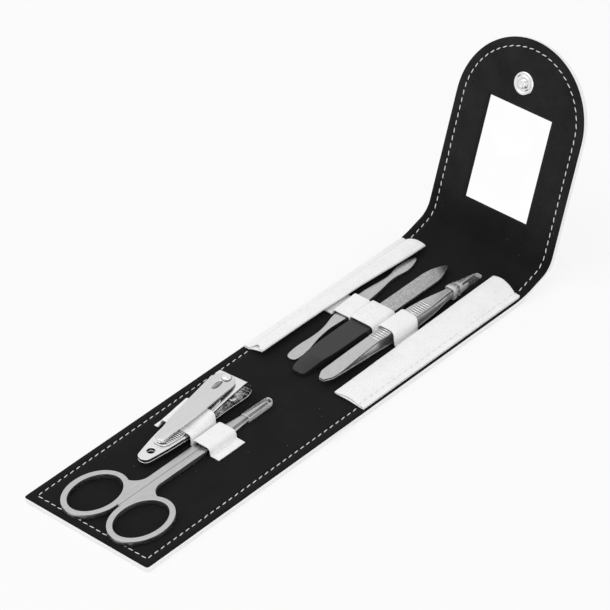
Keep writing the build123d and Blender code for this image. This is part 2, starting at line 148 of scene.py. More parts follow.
leatheretteLook = {"level": 0.965, "pit": 0.80, "grainPerMetre": 1500.0, "grainDepth": 0.00007}
velourLook = {
    "level": 0.0050, "raised": 0.0085,
    "flapPaintedLightLevel": 0.011, "flapPaintedLightRaised": 0.021,
    "paintedLightFrom": (0.008, 0.03),  # heights between which the lining is painted lighter: painted light for the flap catching more light
    "lint": 0.16, "lintPerMetre": 330.0,
    "pilePerMetre": 3200.0,
}
abrasiveLook = {
    "gritPerMetre": 3300.0,
    "dark": 0.27, "middle": 0.42, "light": 0.58,
    "point": 0.16, "slant": 0.394, "smoothFrom": 0.0693,
}
steelLooks = {
    # levels of grey, roughness, stretch along each axis, streaks per metre, depth in metres
    "satinSteel": (0.47, 0.54, 0.33, (1, 0.12, 1), 2500.0, 0.000002),
    # the darker steel under the tweezers' ribs is painted shade for the grooves between them
    "paintedShadeSteel": (0.36, 0.42, 0.4, (1, 1, 1), 900.0, 0.000004),
    "brightSteel": (0.7488, 0.78, 0.13, (1, 1, 1), 110.0, 0.000003),
    "brushedLeverSteel": (0.62, 0.66, 0.24, (1, 0.1, 1), 2500.0, 0.0000015),
    "nickelPlate": (0.74, 0.82, 0.1, (1, 1, 1), 160.0, 0.000004),
}


def makeLeatherette(look):
    made, tree, shader, place = startMaterial("whiteLeatherette", Roughness=0.5, Base_Color=(*grey(look["level"]), 1))
    cells = pattern(tree, place, "TexVoronoi", "Distance", Scale=look["grainPerMetre"])
    pits = pattern(tree, place, "TexNoise", "Fac", Scale=look["grainPerMetre"] * 0.9, Detail=2.0)
    cloud = pattern(tree, place, "TexNoise", "Fac", Scale=140.0, Detail=3.0)
    shade = ramp(tree, pits, (0.24, look["pit"]), (0.40, look["level"] * 0.97), (0.62, look["level"]))
    tone = ramp(tree, cloud, (0.3, 0.95), (0.7, 1.0))
    tree.links.new(mixed(tree, 1.0, shade, tone, "MULTIPLY"), shader.inputs["Base Color"])
    fine = relief(tree, shader, cells, look["grainDepth"], 0.55)
    relief(tree, shader, cloud, 0.0004, 0.25, fine)
    return made


def makeVelour(look):
    made, tree, shader, place = startMaterial("blackVelour", Roughness=0.92, Base_Color=(*grey(look["level"]), 1),
                                              Sheen_Weight=0.06, Sheen_Roughness=0.5, Specular_IOR_Level=0.1)
    pile = pattern(tree, place, "TexNoise", "Fac", Scale=look["pilePerMetre"], Detail=2.0)
    brushed = pattern(tree, place, "TexNoise", "Fac", Scale=75.0, Detail=4.0, Roughness=0.65)
    speck = addNode(tree, "TexVoronoi", Scale=look["lintPerMetre"], Randomness=1.0)
    tree.links.new(place.outputs["Vector"], speck.inputs["Vector"])
    near = ramp(tree, speck.outputs["Distance"], (0.035, 1.0), (0.075, 0.0))
    some = ramp(tree, speck.outputs["Color"], (0.70, 0.0), (0.80, 1.0))
    lint = mixed(tree, 1.0, near, some, "MULTIPLY")
    base = ramp(tree, brushed, (0.3, look["level"]), (0.72, look["raised"]))
    # the lining is painted lighter up the flap: painted light, standing in for the flap catching more light
    height = addNode(tree, "SeparateXYZ")
    tree.links.new(place.outputs["Vector"], height.inputs[0])
    climb = addNode(tree, "MapRange")
    tree.links.new(height.outputs["Z"], climb.inputs[0])
    climb.inputs[1].default_value, climb.inputs[2].default_value = look["paintedLightFrom"]
    paintedLightBase = ramp(tree, brushed, (0.3, look["flapPaintedLightLevel"]), (0.72, look["flapPaintedLightRaised"]))
    base = mixed(tree, climb.outputs[0], base, paintedLightBase)
    piled = mixed(tree, 1.0, base, ramp(tree, pile, (0.3, 0.72), (0.7, 1.25)), "MULTIPLY")
    tree.links.new(mixed(tree, lint, piled, grey(look["lint"])), shader.inputs["Base Color"])
    relief(tree, shader, pile, 0.00012, 0.7)
    return made


def makeSteel(name, dark, light, rough, along, streaks, depth):
    made, tree, shader, place = startMaterial(name, Metallic=1.0, Roughness=rough, Base_Color=(*grey(light), 1))
    place.inputs["Scale"].default_value = along
    lines = pattern(tree, place, "TexNoise", "Fac", Scale=streaks, Detail=3.0)
    tree.links.new(ramp(tree, lines, (0.3, dark), (0.68, light)), shader.inputs["Base Color"])
    haze = pattern(tree, place, "TexNoise", "Fac", Scale=streaks / 6, Detail=2.0)
    tree.links.new(ramp(tree, haze, (0.3, rough * 0.8), (0.7, rough * 1.25)), shader.inputs["Roughness"])
    relief(tree, shader, lines, depth, 0.6)
    return made


def makeAbrasive(look):
    made, tree, shader, place = startMaterial("etchedSteel", Metallic=0.85, Roughness=0.42, Base_Color=(*grey(0.4), 1))
    grit = pattern(tree, place, "TexVoronoi", "Color", Scale=look["gritPerMetre"])
    face = ramp(tree, grit, (0.1, look["dark"]), (0.5, look["middle"]), (0.9, look["light"]))
    # the point is left smooth, beyond a line drawn aslant
    split = addNode(tree, "SeparateXYZ")
    tree.links.new(place.outputs["Vector"], split.inputs[0])
    slant = addNode(tree, "Math", operation="MULTIPLY_ADD")
    slant.inputs[1].default_value, slant.inputs[2].default_value = look["slant"], -look["smoothFrom"]
    tree.links.new(split.outputs["X"], slant.inputs[0])
    ahead = addNode(tree, "Math", operation="ADD")
    tree.links.new(split.outputs["Y"], ahead.inputs[0])
    tree.links.new(slant.outputs[0], ahead.inputs[1])
    smooth = ramp(tree, ahead.outputs[0], (0.0, 0.0), (0.0002, 1.0))
    tree.links.new(mixed(tree, smooth, face, grey(look["point"])), shader.inputs["Base Color"])
    tree.links.new(ramp(tree, smooth, (0.0, 0.42), (1.0, 0.26)), shader.inputs["Roughness"])
    relief(tree, shader, mixed(tree, smooth, grit, grey(0.5)), 0.00005, 0.7)
    return made


def makeVinyl():
    made, tree, shader, place = startMaterial("clearVinyl", Roughness=0.08, Base_Color=(*grey(0.75), 1),
                                              Alpha=0.3, IOR=1.5)
    haze = pattern(tree, place, "TexNoise", "Fac", Scale=120.0, Detail=1.0)
    tree.links.new(ramp(tree, haze, (0.3, 0.8), (0.7, 0.88)), shader.inputs["Base Color"])
    edge = addNode(tree, "LayerWeight")
    edge.inputs["Blend"].default_value = 0.35
    facing = ramp(tree, edge.outputs["Facing"], (0.3, 0.025), (0.7, 0.07), (0.97, 0.55))
    # the sides and the cut ends, marked by the crease attribute, are made more opaque in pale grey: a painted highlight
    # for the tube's bright edge lines
    crease = addNode(tree, "Attribute", attribute_name="crease")
    paintedHighlight = ramp(tree, crease.outputs["Fac"], (0.3, 0.0), (1.0, 0.6))
    tree.links.new(mixed(tree, 1.0, facing, paintedHighlight, "LIGHTEN"), shader.inputs["Alpha"])
    return made


def makePlain(name, scale, detail, stops, bump=(), **values):
    # one soft pattern in the colour, and in the relief where bump gives its depth and strength
    made, tree, shader, place = startMaterial(name, **values)
    fine = pattern(tree, place, "TexNoise", "Fac", Scale=scale, Detail=detail)
    tree.links.new(ramp(tree, fine, *stops), shader.inputs["Base Color"])
    if bump:
        relief(tree, shader, fine, *bump)
    return made


leatherette = makeLeatherette(leatheretteLook)
velour = makeVelour(velourLook)
thread = makePlain("whiteThread", 4200.0, 1.0, ((0.35, 0.62), (0.6, 0.86)), (0.00008, 0.6),
                   Roughness=0.7, Base_Color=(*grey(0.84), 1))
satinSteel, paintedShadeSteel, brightSteel, leverSteel, nickel = (makeSteel(name, *look) for name, look in steelLooks.items())
abrasive = makeAbrasive(abrasiveLook)
handlePlastic = makePlain("blackHandlePlastic", 2600.0, 2.0, ((0.3, 0.013), (0.7, 0.019)), (0.00002, 0.5),
                          Roughness=0.4, Base_Color=(*grey(0.016), 1), Specular_IOR_Level=0.4)
vinyl = makeVinyl()
mirrorGlass = makePlain("mirrorGlass", 60.0, 2.0, ((0.35, 0.98), (0.65, 1.0)),
                        Metallic=1.0, Roughness=0.015, Base_Color=(*grey(0.99), 1))
board = makePlain("greyBoard", 900.0, 4.0, ((0.3, (0.34, 0.29, 0.22)), (0.7, (0.48, 0.42, 0.33))),
                  Roughness=0.85, Base_Color=(0.42, 0.36, 0.28, 1))
print("materials made")


# mesh helpers: pieces are drawn in millimetres in a panel's own flat frame, then placed

caseSize = {
    "width": 63.0,
    "length": 312.8,  # all five parts along the lining
    "thickness": 2.8,  # at a board
    "spine": 1.6,  # thickness at a fold
    "coverInner": (2.0, 0.82),  # depth of the cover's inner face at a board and at a fold
    "freeEnd": -130.599,
    "cornerRadius": 1.2,
    "stitchInset": 3.6,
}
halfWidth = caseSize["width"] / 2
# folds of the lining: distance from the free end, turn in degrees, reach of the curve
caseFolds = ((212.6, 17.0, 5.5), (229.0, 51.8, 4.6))
boardEnds = ((0.0, 99.6), (112.6, 212.6), (229.0, 320.0))
flapStart = 229.0


def panelPlace(y, z, angle):
    return Matrix.Translation((0, y * mm, z * mm)) @ Matrix.Rotation(radians(angle), 4, "X") @ Matrix.Scale(mm, 4)


panels = {
    "lower_panel": panelPlace(caseSize["freeEnd"], caseSize["thickness"], 0.0),
    "middle_panel": panelPlace(-17.999, caseSize["thickness"], 0.0),
    "flap": panelPlace(97.684, 7.595, 68.8),
}


def pathAt(s):
    corner, place, angle = 0.0, Vector((caseSize["freeEnd"], caseSize["thickness"])), 0.0
    for at, turn, reach in caseFolds:
        along, up = Vector((cos(angle), sin(angle))), Vector((-sin(angle), cos(angle)))
        turn = radians(turn)
        if s < at - reach:
            break
        if s < at + reach:
            part = (s - at + reach) / (2 * reach) * turn
            radius = reach / tan(turn / 2)
            start = place + along * (at - reach - corner)
            return start + along * radius * sin(part) + up * radius * (1 - cos(part)), angle + part
        place, corner, angle = place + along * (at - corner), at, angle + turn
    return place + Vector((cos(angle), sin(angle))) * (s - corner), angle


def casePoint(x, s, h):
    place, angle = pathAt(s)
    return Vector((x, place.x - sin(angle) * h, place.y + cos(angle) * h)) * mm


def smoothStep(value, low, high):
    t = min(max((value - low) / (high - low), 0.0), 1.0)
    return t * t * (3 - 2 * t)


def meshFrom(bm, name):
    mesh = bpy.data.meshes.new(name)
    bm.to_mesh(mesh)
    bm.free()
    return mesh


def evaluatedMesh(made):
    bpy.context.view_layer.update()
    return bpy.data.meshes.new_from_object(made.evaluated_get(bpy.context.evaluated_depsgraph_get()))


def makeObject(name, mesh, *materials):
    made = bpy.data.objects.new(name, mesh)
    scene.collection.objects.link(made)
    for material in materials:
        mesh.materials.append(material)
    return made


def smoothLine(stations, spacing=0.8):
    # a soft curve through (v, value) stations
    out = []
    for k in range(len(stations) - 1):
        a, b = stations[k], stations[k + 1]
        before, after = stations[max(k - 1, 0)], stations[min(k + 2, len(stations) - 1)]
        slopeA = (b[1] - before[1]) / max(b[0] - before[0], 1e-6)
        slopeB = (after[1] - a[1]) / max(after[0] - a[0], 1e-6)
        run = b[0] - a[0]
        many = max(1, int(run / spacing))
        for n in range(many):
            t = n / many
            h = (2 * t ** 3 - 3 * t * t + 1) * a[1] + (t ** 3 - 2 * t * t + t) * run * slopeA
            h += (3 * t * t - 2 * t ** 3) * b[1] + (t ** 3 - t * t) * run * slopeB
            out.append((a[0] + run * t, h))
    return out + [tuple(stations[-1])]


def valueAt(line, v):
    if v <= line[0][0]:
        return line[0][1]
    for a, b in zip(line, line[1:]):
        if v <= b[0]:
            return a[1] + (b[1] - a[1]) * (v - a[0]) / max(b[0] - a[0], 1e-6)
    return line[-1][1]


def meshObject(name, points, faces, material, sharpAngle=None):
    bm = bmesh.new()
    corners = [bm.verts.new(p) for p in points]
    for face in faces:
        if len(set(face)) > 2:
            bm.faces.new([corners[i] for i in face])
    bmesh.ops.remove_doubles(bm, verts=bm.verts, dist=2e-6)
    bmesh.ops.dissolve_degenerate(bm, edges=bm.edges, dist=1e-6)
    bmesh.ops.recalc_face_normals(bm, faces=bm.faces)
    made = makeObject(name, meshFrom(bm, name), material)
    smoothed(made, sharpAngle)
    return made


def smoothed(made, sharpAngle=None):
    made.data.shade_smooth()
    if sharpAngle:
        made.data.set_sharp_from_angle(angle=radians(sharpAngle))


def applied(made):
    mesh = evaluatedMesh(made)
    made.modifiers.clear()
    made.data = mesh
    return made


def finishPiece(made, body, slotName, *nodes):
    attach(made, body)
    if nodes:
        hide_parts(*nodes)
    return made


def gridFaces(rows, columns, start=0, flip=False):
    faces = []
    for i in range(rows - 1):
        for j in range(columns - 1):
            a = start + i * columns + j
            face = (a, a + 1, a + columns + 1, a + columns)
            faces.append(face[::-1] if flip else face)
    return faces


def shellFromGrids(top, bottom):
    rows, columns = len(top), len(top[0])
    points = [p for row in top for p in row] + [p for row in bottom for p in row]
    count = rows * columns
    faces = gridFaces(rows, columns) + gridFaces(rows, columns, count, True)
    around = list(range(columns)) + [i * columns + columns - 1 for i in range(1, rows)]
    around += [(rows - 1) * columns + j for j in range(columns - 2, -1, -1)]
    around += [i * columns for i in range(rows - 2, 0, -1)]
    for a, b in zip(around, around[1:] + around[:1]):
        faces.append((b, a, a + count, b + count))
    return points, faces


# the case: cover and lining run on over the folds, and each is split where no fold bends

caseLook = {
    "grooveDepth": 0.24,
    "windowHalf": 15.5,
    "windowStart": 12.6,
    "windowEnd": 55.8,
    "ridge": 0.22,
}
edgeRings = (0.0, 0.1, 0.35, 0.9, 2.0, 2.9, 3.3, 3.6, 3.9, 4.4, 5.4, 7.6)
innerColumns = (21.0, 18.6, 17.2, 16.3, 15.85, 15.62, 15.5, 13.5, 11.0, 8.0, 5.0, 2.5, 0.0)
sections = (
    ("Lower", 0.0, 106.1, "lower_panel", "lower_spine", 99.6),
    ("MiddleFront", 106.1, 162.6, "lower_spine", "middle_panel", 112.6),
    ("MiddleBack", 162.6, 220.8, "middle_panel", "flap_spine", 212.6),
    ("Flap", 220.8, 312.8, "flap_spine", "flap", 229.0),
)


def caseColumns():
    right = [(halfWidth - d, k) for k, d in enumerate(edgeRings)] + [(x, len(edgeRings)) for x in innerColumns]
    return [(-x, k) for x, k in right] + [(x, k) for x, k in right[-2::-1]]


def caseRows(start, end):
    length, many = caseSize["length"], len(edgeRings)
    wanted = {round(d, 3): k for k, d in enumerate(edgeRings)}
    wanted.update({round(length - d, 3): k for k, d in enumerate(edgeRings)})
    s = 9.0
    while s < length - 9.0:
        wanted.setdefault(round(s, 3), many)
        s += 1.0 if any(abs(s - at) < reach + 1.5 for at, _, reach in caseFolds) else 2.6
    for lip in (0.0, 0.12, 0.35, 0.8, 1.7, 3.1):
        wanted[round(flapStart + caseLook["windowStart"] - lip, 3)] = many
        wanted[round(flapStart + caseLook["windowEnd"] + lip, 3)] = many
    for low, high in boardEnds:
        for s in (low - 1.5, low - 0.75, low, high, high + 0.75, high + 1.5):
            if 8 < s < length - 9:
                wanted[round(s, 3)] = many
    for cut in (start, end):
        wanted.setdefault(round(cut, 3), many)
    rows = [s for s in sorted(wanted) if start <= s <= end]
    kept = [rows[0]]
    for s in rows[1:]:
        if s - kept[-1] > 0.09 or s == rows[-1]:
            kept.append(s)
    return [(s, wanted[s]) for s in kept]


def roundedPlan(x, s):
    radius = caseSize["cornerRadius"]
    if s < radius and abs(x) > halfWidth - radius:
        a, b = abs(x) - halfWidth + radius, radius - s
        k = max(a, b) / max(hypot(a, b), 1e-9)
        return (halfWidth - radius + a * k) * (1 if x > 0 else -1), radius - b * k
    centre = caseSize["length"] - halfWidth
    if s > centre:
        b = s - centre
        k = 1 + (max(abs(x), b) / max(hypot(x, b), 1e-9) - 1) * smoothStep(max(abs(x), b), 16.5, 23.0)
        return x * k, centre + b * k
    return x, s


def edgeDistance(x, s):
    return min(halfWidth - abs(x), s, caseSize["length"] - s)


def stitchGroove(d):
    return caseLook["grooveDepth"] * exp(-(((d - caseSize["stitchInset"]) / 0.5) ** 2))


def windowDistance(x, s):
    f = s - flapStart
    dx = abs(x) - caseLook["windowHalf"]
    ds = max(caseLook["windowStart"] - f, f - caseLook["windowEnd"])
    return hypot(max(dx, 0), max(ds, 0)) if max(dx, ds) > 0 else 0.0


def liningRise(x, s):
    d = edgeDistance(x, s)
    rise = -0.34 * exp(-d / 0.16) - stitchGroove(d) + 0.05 * exp(-(((d - 1.6) / 1.2) ** 2))
    rise += 0.06 * noise.noise(Vector((x / 9, s / 9, 1.3))) - 0.03
    fold = caseFolds[1][0]
    rise -= 0.30 * exp(-(((s - fold + 2.6 + 0.9 * sin(x / 9)) / 0.9) ** 2)) * smoothStep(d, 3.0, 7.0)
    crease = exp(-(((s - fold - 3.4 - 0.03 * x) / 0.8) ** 2))
    rise -= 0.18 * crease * smoothStep(x, -26.0, 0.0) * smoothStep(d, 3.0, 7.0)
    if s > flapStart:
        w = windowDistance(x, s)
        rise += caseLook["ridge"] * exp(-(((w - 1.5) / 1.0) ** 2)) - 0.75 * exp(-w / 0.22)
    return rise


def liningUnder(x, s):
    return -0.36 if edgeDistance(x, s) < 0.5 else -0.8


def coverDepth(s, boardDepth, spineDepth):
    share = max((smoothStep(s, low - 1.5, low) if low else 1) * (1 - smoothStep(s, high, high + 1.5))
                for low, high in boardEnds)
    return spineDepth + (boardDepth - spineDepth) * share


# the cover's rings from its top edge down the side and in below: (distance in, share of the depth)
innerRings = ((2.0, 1.0), (3.2, 1.0), (3.6, 1.0), (4.0, 1.0), (5.4, 1.0), (7.6, 1.0))
coverOuterRings = ((0.0, 0.0), (0.0, 0.35), (0.0, 0.78), (0.15, 0.93), (0.5, 1.0)) + innerRings
coverInnerRings = ((0.45, 0.0), (0.8, 0.35), (0.8, 0.7), (0.8, 0.9), (0.9, 1.0)) + innerRings
coverTop = 0.36


def coverGrid(rings, start, end, boardDepth, spineDepth, grooved):
    many, length = len(rings), caseSize["length"]
    right = [(halfWidth - d, k) for k, (d, share) in enumerate(rings)]
    right += [(x, many) for x in (20.0, 15.0, 10.0, 5.0, 0.0)]
    columns = [(-x, k) for x, k in right] + right[-2::-1]
    rows = [(s, many) for s, k in caseRows(start, end) if 8.0 <= s <= length - 8.0]
    if start == 0:
        rows = [(d, k) for k, (d, share) in enumerate(rings)] + rows
    if end == length:
        rows = rows + [(length - d, k) for k, (d, share) in reversed(list(enumerate(rings)))]
    grid = []
    for s, i in rows:
        line = []
        for x, j in columns:
            k = min(i, j)
            share = rings[k][1] if k < many else 1.0
            px, ps = roundedPlan(x, s)
            depth = coverTop + share * (coverDepth(ps, boardDepth, spineDepth) - coverTop)
            if grooved and share == 1.0:
                depth -= stitchGroove(edgeDistance(x, s)) + 0.05 * (1 + noise.noise(Vector((x / 11, s / 11, 7.7))))
            line.append(casePoint(px, ps, -depth))
        grid.append(line)
    return grid


def blendPiece(made, one, two, at, slotName, *nodes):
    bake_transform(made)
    if nodes:
        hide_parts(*nodes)
    return made


def makeLining(label, start, end):
    columns, rows = caseColumns(), caseRows(start, end)
    top, bottom = [], []
    for s, _ in rows:
        plan = [(*roundedPlan(x, s), x) for x, _ in columns]
        top.append([casePoint(px, ps, liningRise(x, s)) for px, ps, x in plan])
        bottom.append([casePoint(px, ps, liningUnder(x, s)) for px, ps, x in plan])
    points, faces = shellFromGrids(top, bottom)
    if label == "Flap":
        points, faces = cutWindow(points, faces, rows, columns)
    return meshObject("lining" + label, points, faces, velour, 60)


def cutWindow(points, faces, rows, columns):
    count, wide = len(rows) * len(columns), len(columns)

    def inside(index):
        i, j = divmod(index % count, wide)
        f = rows[i][0] - flapStart
        return (abs(columns[j][0]) <= caseLook["windowHalf"] + 0.01
                and caseLook["windowStart"] - 0.01 <= f <= caseLook["windowEnd"] + 0.01)

    kept = [face for face in faces if not all(inside(v) for v in face)]
    used = {}
    for face in kept:
        for a, b in zip(face, face[1:] + face[:1]):
            used[(a, b)] = used.get((a, b), 0) + 1
    for a, b in list(used):
        if a < count and b < count and (b, a) not in used and inside(a) and inside(b):
            kept.append((b, a, a + count, b + count))
    return points, kept


def makeCover(label, start, end):
    outer = coverGrid(coverOuterRings, start, end, caseSize["thickness"], caseSize["spine"], True)
    inner = coverGrid(coverInnerRings, start, end, *caseSize["coverInner"], False)
    points, faces = shellFromGrids(inner, outer)
    return meshObject("cover" + label, points, faces, leatherette, 60)


def punchHole(made, x, s, radius):
    bm = bmesh.new()
    place = Matrix.Translation(casePoint(x, s, -2.0)) @ Matrix.Scale(mm, 4)
    bmesh.ops.create_cone(bm, cap_ends=True, segments=64, radius1=radius, radius2=radius, depth=6.0, matrix=place)
    punch = makeObject("punch", meshFrom(bm, "punch"))
    cut = made.modifiers.new("punch", "BOOLEAN")
    cut.object, cut.operation, cut.solver = punch, "DIFFERENCE", "EXACT"
    applied(made)
    bpy.data.objects.remove(punch)
    smoothed(made, 50)


sectionNodes = {
    "Lower": ("lower",),
    "MiddleFront": ("lower_spine",),
    "MiddleBack": ("middle",),
    "Flap": ("flap", "flap_spine"),
}
snapPlace = {"x": -1.2, "flapReach": 65.8, "socketReach": 65.4, "hole": 5.03}  # hole is a radius
for label, start, end, one, two, at in sections:
    lining = makeLining(label, start, end)
    cover = makeCover(label, start, end)
    if label == "Lower":
        punchHole(cover, snapPlace["x"], snapPlace["socketReach"], snapPlace["hole"])
    blendPiece(lining, one, two, at, "black_lining", *[n + "_lining" for n in sectionNodes[label]])
    blendPiece(cover, one, two, at, "white_leather", *[n + "_cover" for n in sectionNodes[label]])


def refinish(node, material):
    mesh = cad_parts[node].data
    mesh.materials.clear()
    mesh.materials.append(material)


for name in ("lower_board", "middle_board", "flap_board"):
    refinish(name, board)
refinish("mirror", mirrorGlass)
print("case made")


# stitches: one tree lays them along a seam line, and each run follows the sheet it holds over the folds

stitchLook = {
    "pitch": 3.282,
    "length": 2.3,
    "width": 0.44,
    "rise": 0.3,
    "lean": 7.0,  # degrees off the seam's line
    "wander": 4.0,
}
strapStitchLook = {"count": 7, "length": 1.25, "width": 0.34, "rise": 0.24, "lean": 3.0, "wander": 5.0}


def makeRunTree(name, beadKind):
    # lays one bead, turned and leaned, at every even step of each run
    tree = bpy.data.node_groups.new(name, "GeometryNodeTree")
    face = tree.interface
    face.new_socket("Geometry", in_out="INPUT", socket_type="NodeSocketGeometry")
    face.new_socket("Geometry", in_out="OUTPUT", socket_type="NodeSocketGeometry")
    face.new_socket("Count", in_out="INPUT", socket_type="NodeSocketInt")
    for size in ("Length", "Width", "Rise", "Lean", "Wander"):
        face.new_socket(size, in_out="INPUT", socket_type="NodeSocketFloat")
    face.new_socket("Material", in_out="INPUT", socket_type="NodeSocketMaterial")
    new = tree.nodes.new
    given, out = new("NodeGroupInput"), new("NodeGroupOutput")
    curve, even = new("GeometryNodeMeshToCurve"), new("GeometryNodeResampleCurve")
    bead, size = new(beadKind), new("ShaderNodeCombineXYZ")
    for socket, value in (("Radius", 0.5), ("Segments", 10), ("Rings", 6), ("Vertices", 10), ("Depth", 1.0)):
        if socket in bead.inputs:
            bead.inputs[socket].default_value = value
    shaped = new("GeometryNodeTransform")
    upright = new("FunctionNodeRotateRotation")
    ahead, raised = new("FunctionNodeAlignRotationToVector"), new("FunctionNodeAlignRotationToVector")
    ahead.axis, raised.axis, raised.pivot_axis = "X", "Z", "X"
    along, normal = new("GeometryNodeInputNamedAttribute"), new("GeometryNodeInputNamedAttribute")
    for node, label in ((along, "along"), (normal, "up")):
        node.data_type = "FLOAT_VECTOR"
        node.inputs["Name"].default_value = label
    chance, lean = new("FunctionNodeRandomValue"), new("ShaderNodeMath")
    turn, turned = new("ShaderNodeCombineXYZ"), new("FunctionNodeEulerToRotation")
    chance.data_type = "FLOAT"
    chance.inputs["Seed"].default_value = 4
    negative = new("ShaderNodeMath")
    negative.operation = "MULTIPLY"
    negative.inputs[1].default_value = -1.0
    upright.rotation_space = "LOCAL"
    spread, real = new("GeometryNodeInstanceOnPoints"), new("GeometryNodeRealizeInstances")
    coat = new("GeometryNodeSetMaterial")
    # the bead's own axis lies along the stitch
    shaped.inputs["Rotation"].default_value = (0.0, radians(90), 0.0)
    for one, output, two, entry in (
        (given, "Geometry", curve, "Mesh"), (curve, "Curve", even, "Curve"), (given, "Count", even, "Count"),
        (even, "Curve", spread, "Points"), (bead, "Mesh", shaped, "Geometry"),
        (shaped, "Geometry", spread, "Instance"), (given, "Length", size, "X"), (given, "Width", size, "Y"),
        (given, "Rise", size, "Z"), (size, "Vector", spread, "Scale"), (along, "Attribute", ahead, "Vector"),
        (ahead, "Rotation", raised, "Rotation"), (normal, "Attribute", raised, "Vector"),
        (raised, "Rotation", upright, "Rotation"), (given, "Wander", negative, 0), (negative, 0, chance, 2),
        (given, "Wander", chance, 3), (chance, 1, lean, 0), (given, "Lean", lean, 1), (lean, 0, turn, "Z"),
        (turn, "Vector", turned, "Euler"), (turned, "Rotation", upright, "Rotate By"),
        (upright, "Rotation", spread, "Rotation"), (spread, "Instances", real, "Geometry"),
        (real, "Geometry", coat, "Geometry"), (given, "Material", coat, "Material"),
        (coat, "Geometry", out, "Geometry"),
    ):
        tree.links.new(one.outputs[output], two.inputs[entry])
    return tree


stitchTree = makeRunTree("stitchRun", "GeometryNodeMeshUVSphere")
ribTree = makeRunTree("ribRow", "GeometryNodeMeshCylinder")
barTree = makeRunTree("barRow", "GeometryNodeMeshCube")


def socketId(tree, name):
    return next(item.identifier for item in tree.interface.items_tree if item.name == name and item.in_out == "INPUT")


def stitchRuns(name, runs, count, look, tree=None, material=None, across=None):
    # a run is a list of (point, up); across, where given, turns every bead the same way
    tree = tree or stitchTree
    points, edges, ups, alongs = [], [], [], []
    for run in runs:
        first = len(points)
        points += [p for p, up in run]
        ups += [up for p, up in run]
        last = len(run) - 1
        alongs += [across or (run[min(k + 1, last)][0] - run[max(k - 1, 0)][0]).normalized() for k in range(last + 1)]
        edges += [(i, i + 1) for i in range(first, len(points) - 1)]
    mesh = bpy.data.meshes.new(name)
    mesh.from_pydata(points, edges, [])
    for label, values in (("up", ups), ("along", alongs)):
        flat = [v for vector in values for v in vector]
        mesh.attributes.new(label, "FLOAT_VECTOR", "POINT").data.foreach_set("vector", flat)
    made = makeObject(name, mesh)
    laid = made.modifiers.new("stitches", "NODES")
    laid.node_group = tree
    values = {"Count": count, "Material": material or thread}
    values.update({key.capitalize(): radians(look[key]) for key in ("lean", "wander")})
    values.update({key.capitalize(): look[key] * mm for key in ("length", "width", "rise")})
    for key, value in values.items():
        laid[socketId(tree, key)] = value
    applied(made)
    smoothed(made)
    return made


gussetSpan = (119.0, 211.5)  # along the case


def seamPoint(t, top):
    inset, side = caseSize["stitchInset"], 1 if t >= 0 else -1
    t = abs(t)
    reach, centre = halfWidth - inset, caseSize["length"] - halfWidth
    corner, arc = reach, reach + centre - inset
    if t <= corner:
        x, s = t, inset
    elif t <= arc:
        x, s = reach, inset + t - corner
    else:
        x, s = reach * cos((t - arc) / reach), centre + reach * sin((t - arc) / reach)
    angle = pathAt(s)[1]
    up = Vector((0, -sin(angle), cos(angle)))
    if top:
        low, high = gussetSpan
        onHem = smoothStep(s, low - 1.0, low) * (1 - smoothStep(s, high, high + 1.0))
        return casePoint(x * side, s, -0.06 + 1.26 * onHem), up
    return casePoint(x * side, s, 0.15 - coverDepth(s, caseSize["thickness"], caseSize["spine"])), -up


def seamRun(t0, t1, top):
    steps = max(int(abs(t1 - t0) / 0.7), 1)
    corner = halfWidth - caseSize["stitchInset"]
    marks = {t0 + (t1 - t0) * k / steps for k in range(steps + 1)}
    marks |= {c for c in (-corner, corner) if min(t0, t1) < c < max(t0, t1)}
    return [seamPoint(t, top) for t in sorted(marks, reverse=t1 < t0)]


def makeCaseStitches():
    pitch = stitchLook["pitch"]
    inset = caseSize["stitchInset"]
    reach = halfWidth - inset
    cuts = [round((s - inset + reach) / pitch) for s in (106.1, 162.6, 220.8)]
    whole = reach + caseSize["length"] - halfWidth - inset + reach * pi / 2
    for top, place in ((True, "Top"), (False, "Under")):
        plans = (
            [seamRun(-(cuts[0] - 1) * pitch, (cuts[0] - 1) * pitch, top)],
            [seamRun(way * cuts[0] * pitch, way * (cuts[1] - 1) * pitch, top) for way in (-1, 1)],
            [seamRun(way * cuts[1] * pitch, way * (cuts[2] - 1) * pitch, top) for way in (-1, 1)],
            [seamRun(cuts[2] * pitch, whole, top)[:-1] + seamRun(-whole, -cuts[2] * pitch, top)],
        )
        overTop = round(2 * (whole - cuts[2] * pitch) / pitch) + 1
        counts = (2 * cuts[0] - 1, cuts[1] - cuts[0], cuts[2] - cuts[1], overTop)
        for (label, _, _, one, two, at), runs, count in zip(sections, plans, counts):
            made = stitchRuns("stitches" + place + label, runs, count, stitchLook)
            blendPiece(made, one, two, at, "white_leather")


makeCaseStitches()
print("stitches made")


# bands: a strip of leatherette drawn as the line of its section, for straps and gussets

def filletedLine(corners, steps=5):
    # corners are (x, h, radius); the ends have no radius
    line = [Vector(corners[0][:2])]
    for before, here, after in zip(corners, corners[1:], corners[2:]):
        p, a, b = Vector(here[:2]), Vector(before[:2]), Vector(after[:2])
        u, v = (a - p).normalized(), (b - p).normalized()
        half = u.angle(v) / 2
        cut = min(here[2] / tan(half), (a - p).length * 0.49, (b - p).length * 0.49)
        radius = cut * tan(half)
        centre = p + (u + v).normalized() * (radius / sin(half))
        one, two = p + u * cut - centre, p + v * cut - centre
        sweep = one.angle_signed(two)
        for k in range(steps + 1):
            turn = -sweep * k / steps
            spoke = (one.x * cos(turn) - one.y * sin(turn), one.x * sin(turn) + one.y * cos(turn))
            line.append(centre + Vector(spoke))
    line.append(Vector(corners[-1][:2]))
    return line


def evenLine(line, spacing):
    # the same line with no gap wider than the spacing
    out = [line[0]]
    for a, b in zip(line, line[1:]):
        many = max(1, int((b - a).length / spacing + 0.999))
        out += [a.lerp(b, k / many) for k in range(1, many + 1)]
    return out


def lineLength(line):
    return sum((b - a).length for a, b in zip(line, line[1:]))


